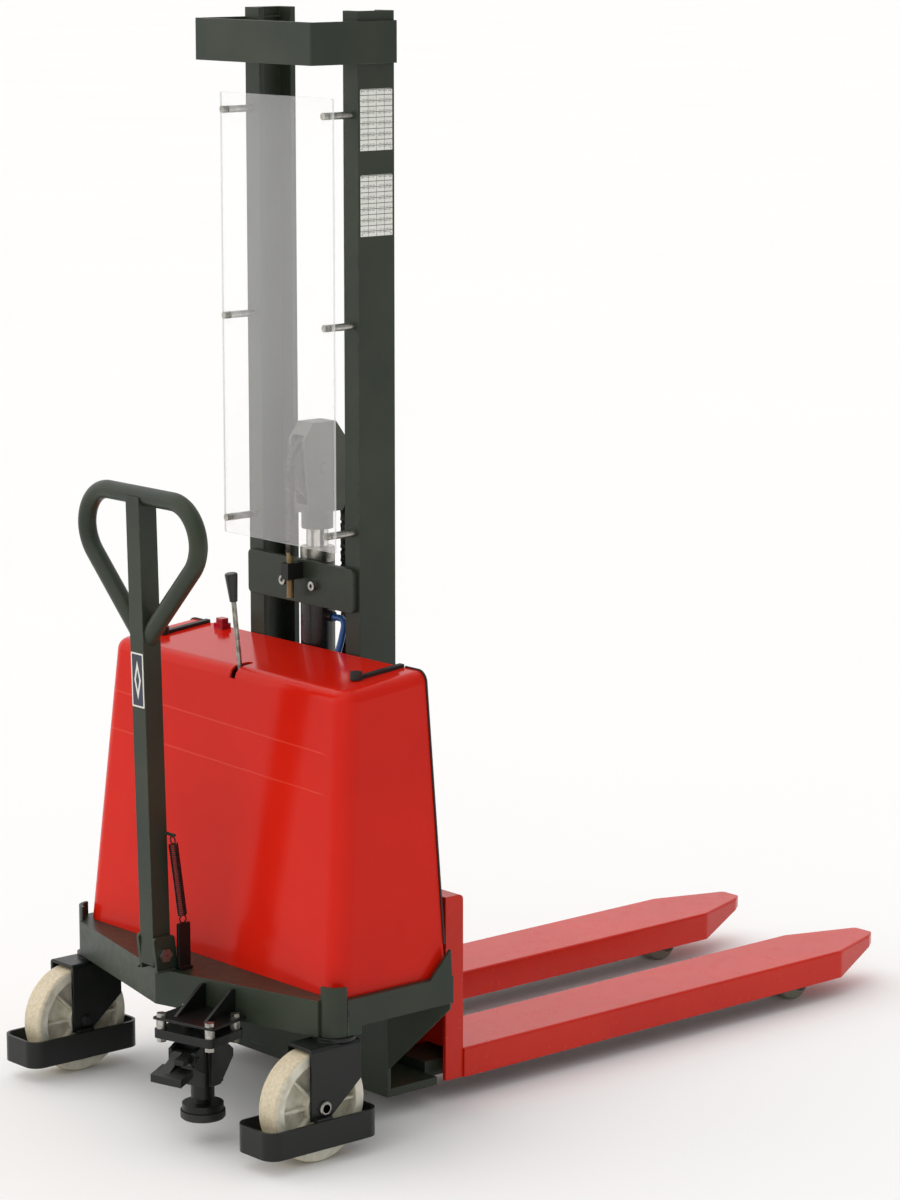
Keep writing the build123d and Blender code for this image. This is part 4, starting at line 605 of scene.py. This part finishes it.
# Anchor: a yellow-passivated threaded rod through a black block. One finish covers the node:
# what lies within the rod's radius is passivated steel, the block round it black enamel.
ROD_REACH = 0.0069
THREAD_MM = 1.75
anchor_finish, tree, coords = begin("yellow_passivated_rod_in_black_block")
centred = add(tree, "ShaderNodeMapping", {},
              {"Vector": coords.outputs["Object"], "Location": (0.0, -rear_y, 0.0)})
parts = add(tree, "ShaderNodeSeparateXYZ", {}, {"Vector": centred.outputs["Vector"]})
disc = add(tree, "ShaderNodeCombineXYZ", {}, {"X": parts.outputs["X"], "Y": parts.outputs["Y"]})
radius = add(tree, "ShaderNodeVectorMath", {"operation": "LENGTH"}, {0: disc.outputs["Vector"]})
block = add(tree, "ShaderNodeMath", {"operation": "GREATER_THAN"},
            {0: radius.outputs["Value"], 1: ROD_REACH})
thread = add(tree, "ShaderNodeMath", {"operation": "SINE"}, {})
turns = add(tree, "ShaderNodeMath", {"operation": "MULTIPLY"},
            {0: parts.outputs["Z"], 1: 2000.0 * pi / THREAD_MM})
tree.links.new(turns.outputs["Value"], thread.inputs[0])
cloud = add(tree, "ShaderNodeTexNoise", {},
            {"Vector": coords.outputs["Object"], "Scale": 1000.0 / 9.0, "Detail": 4.0})
brassy = add(tree, "ShaderNodeMix", {"data_type": "RGBA"},
             {0: cloud.outputs["Fac"], 6: linear("#9a8a62"), 7: linear("#6a5f45")})
ridge = add(tree, "ShaderNodeBump", {},
            {"Strength": 0.5, "Distance": 0.0004, "Height": thread.outputs["Value"]})
rod_skin = add(tree, "ShaderNodeBsdfPrincipled", {},
               {"Base Color": brassy.outputs[2], "Metallic": 1.0, "Roughness": 0.34,
                "Normal": ridge.outputs["Normal"]})
sooty = add(tree, "ShaderNodeMix", {"data_type": "RGBA"},
            {0: cloud.outputs["Fac"], 6: linear("#171a17"), 7: linear("#0f110f")})
block_skin = add(tree, "ShaderNodeBsdfPrincipled", {},
                 {"Base Color": sooty.outputs[2], "Roughness": 0.4, "Specular IOR Level": 0.3})
split = add(tree, "ShaderNodeMixShader", {},
            {0: block.outputs["Value"], 1: rod_skin.outputs["BSDF"], 2: block_skin.outputs["BSDF"]})
add(tree, "ShaderNodeOutputMaterial", {}, {"Surface": split.outputs["Shader"]})
coat(anchor_finish, "chain_anchor")

# ---------------------------------------------------------------------------
# Carriage and forks: a welded box frame and two pressed-steel forks, gloss
# red enamel, riding on steel rollers inside the channels.
# ---------------------------------------------------------------------------
# Gloss red enamel: deep and wet-looking, worn pink-grey on the fork edges.
red_enamel = coated_steel("gloss_red_enamel", "#cf2510", "#c5200e", "#dd6a50", 0.22, 0.26, 0.35)
coat(red_enamel, "carriage_frame", "fork_left", "fork_right")
# Ground steel rollers: bright tread, greasy clouds.
roller_steel = bare_metal("ground_roller_steel", "#8e8c84", "#5d5b55", 0.3, 0.7, (6.0, 1.0, 1.0))
coat(roller_steel, "carriage_rollers_lower", "carriage_rollers_upper")
grey_nylon = coated_steel("grey_cast_nylon", "#8b8c7e", "#74766a", "#a8a99d", 0.45, 0.4, 0.5)
coat(grey_nylon, "load_wheel_left", "load_wheel_right")

# ---------------------------------------------------------------------------
# Castors: pressed yokes and foot guards in black enamel, and cast nylon
# wheels with ribbed sides.
# ---------------------------------------------------------------------------
black_enamel = coated_steel("black_enamel", "#151916", "#0f1210", "#3c423c", 0.34, 0.34, 0.5)
coat(black_enamel, "castor_yoke_left", "castor_yoke_right", "castor_guard_left",
     "castor_guard_right")

# Axle bolts: a zinc-plated head outside the outer cheek of each yoke, drawn as a cap over the black
# one of the CAD yoke, domed a little and chamfered as cold-formed heads are.
CAP_RADIUS = 0.0125
CHEEK_OUT = 0.0362
TREAD_START = 0.0965
TREAD_FULL = 0.0985


def domed_cap(name, body, place, radius, rise, axis_turn, finish):
    """A round domed cap whose flat back sits at a place."""
    bpy.ops.object.select_all(action="DESELECT")
    bpy.ops.mesh.primitive_cylinder_add(vertices=32, radius=radius, depth=rise,
                                        location=(0, 0, rise / 2))
    cap = bpy.context.object
    bpy.ops.object.transform_apply(location=True, rotation=False, scale=False)
    pick(cap, lambda co: co.z > rise * 0.9)
    bpy.ops.mesh.inset(thickness=radius * 0.2, depth=0.0)
    bpy.ops.object.mode_set(mode="OBJECT")
    pick(cap, lambda co: co.z > rise * 0.9 and co.to_2d().length > radius * 0.95)
    bpy.ops.transform.translate(value=(0, 0, -rise * 0.28))
    bpy.ops.object.mode_set(mode="OBJECT")
    cap.rotation_euler = axis_turn
    cap.location = place
    return settle(cap, name, body, finish, 30.0)


for word, side in (("left", -1), ("right", 1)):
    yoke_low, yoke_high = low(f"castor_yoke_{word}"), high(f"castor_yoke_{word}")
    wheel_middle = (low(f"castor_wheel_{word}") + high(f"castor_wheel_{word}")) / 2
    outer = yoke_high.x if side > 0 else yoke_low.x
    face = wheel_middle.x + side * CHEEK_OUT
    domed_cap(f"axle_cap_{word}", f"castor_{word}", (face, wheel_middle.y, wheel_middle.z),
              CAP_RADIUS,
              abs(outer - face), (0, side * pi / 2, 0), zinc_plate)


def cast_nylon(name, side):
    """Natural cast nylon: cream and waxy, cloudy inside, the tread yellowed and scuffed."""
    finish, tree, coords = begin(name)
    middle = (low(side) + high(side)) / 2
    centred = add(tree, "ShaderNodeMapping", {},
                  {"Vector": coords.outputs["Object"], "Location": -middle})
    parts = add(tree, "ShaderNodeSeparateXYZ", {}, {"Vector": centred.outputs["Vector"]})
    disc = add(tree, "ShaderNodeCombineXYZ", {}, {"Y": parts.outputs["Y"], "Z": parts.outputs["Z"]})
    radius = add(tree, "ShaderNodeVectorMath", {"operation": "LENGTH"}, {0: disc.outputs["Vector"]})
    marble = add(tree, "ShaderNodeTexNoise", {},
                 {"Vector": centred.outputs["Vector"], "Scale": 1000.0 / 38.0, "Detail": 5.0,
                  "Distortion": 1.2})
    spread = add(tree, "ShaderNodeMapRange", {},
                 {"Value": marble.outputs["Fac"], "From Min": 0.35, "From Max": 0.68})
    wax = add(tree, "ShaderNodeMix", {"data_type": "RGBA"},
              {0: spread.outputs["Result"], 6: linear("#e6e2d2"), 7: linear("#c4c0ac")})
    tread = add(tree, "ShaderNodeMapRange", {},
                {"Value": radius.outputs["Value"], "From Min": TREAD_START, "From Max": TREAD_FULL})
    grit = add(tree, "ShaderNodeTexNoise", {},
               {"Vector": centred.outputs["Vector"], "Scale": 1000.0 / 6.0, "Detail": 6.0,
                "Roughness": 0.75})
    dirt = add(tree, "ShaderNodeMapRange", {},
               {"Value": grit.outputs["Fac"], "From Min": 0.35, "From Max": 0.72})
    road = add(tree, "ShaderNodeMix", {"data_type": "RGBA"},
               {0: dirt.outputs["Result"], 6: linear("#d9cdb2"), 7: linear("#b3a689")})
    skin = add(tree, "ShaderNodeMix", {"data_type": "RGBA"},
               {0: tread.outputs["Result"], 6: wax.outputs[2], 7: road.outputs[2]})
    bump = add(tree, "ShaderNodeBump", {},
               {"Strength": 0.2, "Distance": 0.0006, "Height": grit.outputs["Fac"]})
    nylon = add(tree, "ShaderNodeBsdfPrincipled", {},
                {"Base Color": skin.outputs[2], "Roughness": 0.42, "IOR": 1.53,
                 "Subsurface Weight": 0.25, "Subsurface Radius": (0.012, 0.010, 0.007),
                 "Subsurface Scale": 1.0, "Normal": bump.outputs["Normal"]})
    add(tree, "ShaderNodeOutputMaterial", {}, {"Surface": nylon.outputs["BSDF"]})
    return finish


coat(cast_nylon("cast_nylon_left", "castor_wheel_left"), "castor_wheel_left")
coat(cast_nylon("cast_nylon_right", "castor_wheel_right"), "castor_wheel_right")

# ---------------------------------------------------------------------------
# Tiller: square drawbar and bent tube loop, olive coat, on a pinned bracket
# that a black extension spring pulls upright.
# ---------------------------------------------------------------------------
coat(olive_coat, "drawbar", "handle_loop", "tiller_bracket")
coat(black_enamel, "spring_post")

# Badge on the drawbar: an enamelled metal plate with a pale border round a dark field and a
# plain lozenge in place of any mark.
LEAN = radians(1.3)
BADGE_WIDE, BADGE_TALL, BADGE_THICK = 0.0350, 0.0980, 0.0008
badge_finish, tree, coords = begin("enamelled_badge")
across = add(tree, "ShaderNodeSeparateXYZ", {}, {"Vector": coords.outputs["UV"]})
off_x = add(tree, "ShaderNodeMath", {"operation": "SUBTRACT"}, {0: across.outputs["X"], 1: 0.5})
off_y = add(tree, "ShaderNodeMath", {"operation": "SUBTRACT"}, {0: across.outputs["Y"], 1: 0.5})
far_x = add(tree, "ShaderNodeMath", {"operation": "ABSOLUTE"}, {0: off_x.outputs["Value"]})
far_y = add(tree, "ShaderNodeMath", {"operation": "ABSOLUTE"}, {0: off_y.outputs["Value"]})
in_x = add(tree, "ShaderNodeMath", {"operation": "LESS_THAN"}, {0: far_x.outputs["Value"], 1: 0.42})
in_y = add(tree, "ShaderNodeMath", {"operation": "LESS_THAN"}, {0: far_y.outputs["Value"], 1: 0.47})
inside = add(tree, "ShaderNodeMath", {"operation": "MULTIPLY"},
             {0: in_x.outputs["Value"], 1: in_y.outputs["Value"]})
slim = add(tree, "ShaderNodeMath", {"operation": "MULTIPLY"}, {0: far_x.outputs["Value"], 1: 1.35})
sum_xy = add(tree, "ShaderNodeMath", {"operation": "ADD"},
             {0: slim.outputs["Value"], 1: far_y.outputs["Value"]})
lozenge = add(tree, "ShaderNodeMath", {"operation": "LESS_THAN"},
              {0: sum_xy.outputs["Value"], 1: 0.36})
ring_in = add(tree, "ShaderNodeMath", {"operation": "LESS_THAN"},
              {0: sum_xy.outputs["Value"], 1: 0.20})
glaze = add(tree, "ShaderNodeTexNoise", {},
            {"Vector": coords.outputs["Object"], "Scale": 1000.0 / 12.0, "Detail": 3.0})
dark = add(tree, "ShaderNodeMix", {"data_type": "RGBA"},
           {0: glaze.outputs["Fac"], 6: linear("#1e2233"), 7: linear("#262b3f")})
pale = add(tree, "ShaderNodeMix", {"data_type": "RGBA"},
           {0: glaze.outputs["Fac"], 6: linear("#e4e2da"), 7: linear("#cfcdc4")})
field = add(tree, "ShaderNodeMix", {"data_type": "RGBA"},
            {0: inside.outputs["Value"], 6: pale.outputs[2], 7: dark.outputs[2]})
sign = add(tree, "ShaderNodeMix", {"data_type": "RGBA"},
           {0: lozenge.outputs["Value"], 6: field.outputs[2], 7: pale.outputs[2]})
heart = add(tree, "ShaderNodeMix", {"data_type": "RGBA"},
            {0: ring_in.outputs["Value"], 6: sign.outputs[2], 7: dark.outputs[2]})
enamel = add(tree, "ShaderNodeBsdfPrincipled", {},
             {"Base Color": heart.outputs[2], "Roughness": 0.22})
add(tree, "ShaderNodeOutputMaterial", {}, {"Surface": enamel.outputs["BSDF"]})
tiller_pivot = [Vector(j["pos_m"]) for j in frame["joints"] if j["name"] == "tiller_tilt"][0]
BADGE_HIGH = 0.811
BAR_HALF = 0.019
badge_y = (tiller_pivot.y - (BADGE_HIGH - tiller_pivot.z) * sin(LEAN) / cos(LEAN)
           - (BAR_HALF + BADGE_THICK / 2) / cos(LEAN))
thin_plate("drawbar_badge", "tiller", badge_finish, (0.0, badge_y, BADGE_HIGH), BADGE_WIDE,
           BADGE_TALL,
           BADGE_THICK, (LEAN, 0.0, 0.0), 0.002)

# Return spring: black patented wire, 2.6 mm thick, wound close, with a hook at each end. Coil and
# hooks are one piece that rides on no body, drawn between the post and the drawbar at rest.
WIRE = 0.0026
COIL_RADIUS = 0.0077
COIL_TURNS = 38
spring_low, spring_high = low("tiller_spring"), high("tiller_spring")
spring_x = (spring_low.x + spring_high.x) / 2
foot = Vector((spring_x, spring_high.y - COIL_RADIUS - WIRE / 2, spring_low.z))
head = Vector((spring_x, spring_low.y + COIL_RADIUS + WIRE / 2, spring_high.z))
reach = head - foot
HOOK = 0.014
coil_length = reach.length - 2 * HOOK
bpy.ops.mesh.primitive_circle_add(vertices=7, radius=WIRE / 2, rotation=(pi / 2, 0, 0))
coil = bpy.context.object
bpy.ops.object.transform_apply(location=False, rotation=True, scale=False)
pick(coil, lambda co: True)
bpy.ops.transform.translate(value=(COIL_RADIUS, 0, 0))
bpy.ops.object.mode_set(mode="OBJECT")
wind = coil.modifiers.new("wind", "SCREW")
wind.axis = "Z"
wind.angle = 2 * pi
wind.screw_offset = coil_length / COIL_TURNS
wind.iterations = COIL_TURNS
wind.steps = wind.render_steps = 16
bpy.ops.object.modifier_apply(modifier="wind")
coil.location = (0, 0, HOOK)
rings = [coil]
for end, way in ((HOOK * 0.5, 0.0), (reach.length - HOOK * 0.5, pi / 2)):
    bpy.ops.mesh.primitive_torus_add(major_segments=28, minor_segments=7, major_radius=HOOK * 0.5,
                                     minor_radius=WIRE / 2, location=(0, 0, end),
                                     rotation=(pi / 2, 0, way))
    rings.append(bpy.context.object)
bpy.ops.object.select_all(action="DESELECT")
for ring in rings:
    ring.select_set(True)
bpy.context.view_layer.objects.active = coil
bpy.ops.object.transform_apply(location=True, rotation=True, scale=True)
bpy.ops.object.join()
coil.rotation_euler = reach.to_track_quat("Z", "X").to_euler()
coil.location = foot
settle(coil, "tiller_spring_coil", None, black_enamel, 60.0)
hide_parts("tiller_spring")
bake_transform(coil)

# Seams along the foot of the tiller's bracket, one bead on each side.
BRACKET_HALF = 0.0285
for word, side in (("left", -1), ("right", 1)):
    weld_bead(f"weld_bracket_{word}", "chassis",
              (side * BRACKET_HALF, low("tiller_bracket").y + 0.006,
               low("tiller_bracket").z + 0.001),
              (side * BRACKET_HALF, high("tiller_bracket").y - 0.006,
               low("tiller_bracket").z + 0.001), 0.0030)

# ---------------------------------------------------------------------------
# Hood: one moulding of glass-fibre with a red gel coat, held down by two
# rubber straps, with a rubber edging along its open side towards the mast.
# ---------------------------------------------------------------------------
# Gel coat on glass fibre: wet red gloss over slow waves in the moulding, tiny pinholes of orange
# peel, and two shallow creases across the operator's face, short of its right corner.
# Along the creases the red is mixed lighter, a painted highlight standing in for the light they
# catch.
CREASE_HIGH = (0.7085, 0.6380)
CREASE_HALF = 0.0022
CREASE_SLOPE = 0.028
WAVE_MM = 70.0
red_gel, tree, coords = begin("red_gel_coat")
where = coords.outputs["Object"]
clouds = add(tree, "ShaderNodeTexNoise", {},
             {"Vector": where, "Scale": 1000.0 / 240.0, "Detail": 3.0})
deep = add(tree, "ShaderNodeMapRange", {},
           {"Value": clouds.outputs["Fac"], "From Min": 0.3, "From Max": 0.7})
red = add(tree, "ShaderNodeMix", {"data_type": "RGBA"},
          {0: deep.outputs["Result"], 6: linear("#c81c0e"), 7: linear("#d32110")})
stretched = add(tree, "ShaderNodeMapping", {}, {"Vector": where, "Scale": (1.0, 1.0, 0.35)})
wave = add(tree, "ShaderNodeTexNoise", {},
           {"Vector": stretched.outputs["Vector"], "Scale": 1000.0 / WAVE_MM, "Detail": 1.0})
waves = add(tree, "ShaderNodeBump", {},
            {"Strength": 0.25, "Distance": 0.0012, "Height": wave.outputs["Fac"]})
spot = add(tree, "ShaderNodeSeparateXYZ", {}, {"Vector": where})
front = add(tree, "ShaderNodeMapRange", {},
            {"Value": spot.outputs["Y"], "From Min": -0.585, "From Max": -0.575, "To Min": 1.0,
             "To Max": 0.0})
end = add(tree, "ShaderNodeMapRange", {},
          {"Value": spot.outputs["X"], "From Min": 0.285, "From Max": 0.305, "To Min": 1.0,
           "To Max": 0.0})
shown = add(tree, "ShaderNodeMath", {"operation": "MULTIPLY"},
            {0: front.outputs["Result"], 1: end.outputs["Result"]})
lines = []
for high_z in CREASE_HIGH:
    slope = add(tree, "ShaderNodeMath", {"operation": "MULTIPLY_ADD"},
                {0: spot.outputs["X"], 1: CREASE_SLOPE, 2: spot.outputs["Z"]})
    away = add(tree, "ShaderNodeMath", {"operation": "SUBTRACT"},
               {0: slope.outputs["Value"], 1: high_z})
    span = add(tree, "ShaderNodeMath", {"operation": "ABSOLUTE"}, {0: away.outputs["Value"]})
    lines.append(add(tree, "ShaderNodeMapRange", {"interpolation_type": "SMOOTHSTEP"},
                     {"Value": span.outputs["Value"], "From Min": 0.0, "From Max": CREASE_HALF,
                      "To Min": 1.0, "To Max": 0.0}))
pair = add(tree, "ShaderNodeMath", {"operation": "ADD"},
           {0: lines[0].outputs["Result"], 1: lines[1].outputs["Result"]})
# Crease mask: it drives both the crease bump and the painted highlight along the creases.
crease_and_highlight_mask = add(tree, "ShaderNodeMath", {"operation": "MULTIPLY"},
            {0: pair.outputs["Value"], 1: shown.outputs["Value"]})
creased = add(tree, "ShaderNodeBump", {},
              {"Strength": 0.5, "Distance": 0.0006, "Height": crease_and_highlight_mask.outputs["Value"],
               "Normal": waves.outputs["Normal"]})
peel = add(tree, "ShaderNodeTexNoise", {}, {"Vector": where, "Scale": 1000.0 / 2.2, "Detail": 1.0})
skin = add(tree, "ShaderNodeBump", {},
           {"Strength": 0.03, "Distance": 0.0003, "Height": peel.outputs["Fac"],
            "Normal": creased.outputs["Normal"]})
# Painted highlight: the crease lines are mixed to a lighter red (#d83a28) in place of the light
# they catch.
wear_and_highlight = add(tree, "ShaderNodeMix", {"data_type": "RGBA"},
             {0: crease_and_highlight_mask.outputs["Value"], 6: red.outputs[2], 7: linear("#d83a28")})
dull = add(tree, "ShaderNodeMapRange", {},
           {"Value": clouds.outputs["Fac"], "To Min": 0.08, "To Max": 0.20})
gel = add(tree, "ShaderNodeBsdfPrincipled", {},
          {"Base Color": wear_and_highlight.outputs[2], "Roughness": dull.outputs["Result"], "IOR": 1.5,
           "Specular IOR Level": 0.14, "Normal": skin.outputs["Normal"]})
add(tree, "ShaderNodeOutputMaterial", {}, {"Surface": gel.outputs["BSDF"]})
coat(red_gel, "hood")


def moulded(name, body, deep, roughness, grain_mm, depth=0.15):
    """Moulded plastic or rubber: soft tone clouds and a fine moulded grain."""
    finish, tree, coords = begin(name)
    clouds = add(tree, "ShaderNodeTexNoise", {},
                 {"Vector": coords.outputs["Object"], "Scale": 1000.0 / 30.0, "Detail": 4.0})
    grain = add(tree, "ShaderNodeTexNoise", {},
                {"Vector": coords.outputs["Object"], "Scale": 1000.0 / grain_mm, "Detail": 2.0})
    tone = add(tree, "ShaderNodeMix", {"data_type": "RGBA"},
               {0: clouds.outputs["Fac"], 6: linear(body), 7: linear(deep)})
    gloss = add(tree, "ShaderNodeMapRange", {},
                {"Value": clouds.outputs["Fac"], "From Min": 0.3, "From Max": 0.7,
                 "To Min": roughness - 0.06, "To Max": roughness + 0.08})
    skin = add(tree, "ShaderNodeBump", {},
               {"Strength": depth, "Distance": 0.0004, "Height": grain.outputs["Fac"]})
    plastic = add(tree, "ShaderNodeBsdfPrincipled", {},
                  {"Base Color": tone.outputs[2], "Roughness": gloss.outputs["Result"], "IOR": 1.5,
                   "Normal": skin.outputs["Normal"]})
    add(tree, "ShaderNodeOutputMaterial", {}, {"Surface": plastic.outputs["BSDF"]})
    return finish


black_rubber = moulded("black_epdm_rubber", "#141513", "#1f201d", 0.5, 1.4, 0.3)
coat(black_rubber, "hood_straps", "hood_edging", "lock_foot")
black_plastic = moulded("black_nylon_moulding", "#1a1a19", "#222220", 0.38, 1.0)
coat(black_plastic, "lever_knob")
# Red polycarbonate on the switch's button and housing, with darker clouds.
coat(moulded("red_polycarbonate", "#c01c2e", "#8e1220", 0.15, 2.0, 0.05), "switch_button",
     "switch_housing")
coat(moulded("blue_pvc_hose", "#2a63ad", "#1d4d8e", 0.3, 1.2), "return_hose")
coat(moulded("grey_battery_case", "#3a3c3f", "#2b2d30", 0.45, 1.2), "battery")
coat(coated_steel("motor_grey_enamel", "#6c6f70", "#5a5d5e", "#8d9090", 0.35, 0.5, 0.5),
     "pump_motor")

# ---------------------------------------------------------------------------
# Floor lock: cast housing and bracket, pedal and release tab, and a rubber
# foot on a plunger.
# ---------------------------------------------------------------------------
coat(black_enamel, "lock_bracket", "lock_housing", "lock_pedal", "lock_release", "lock_plunger")
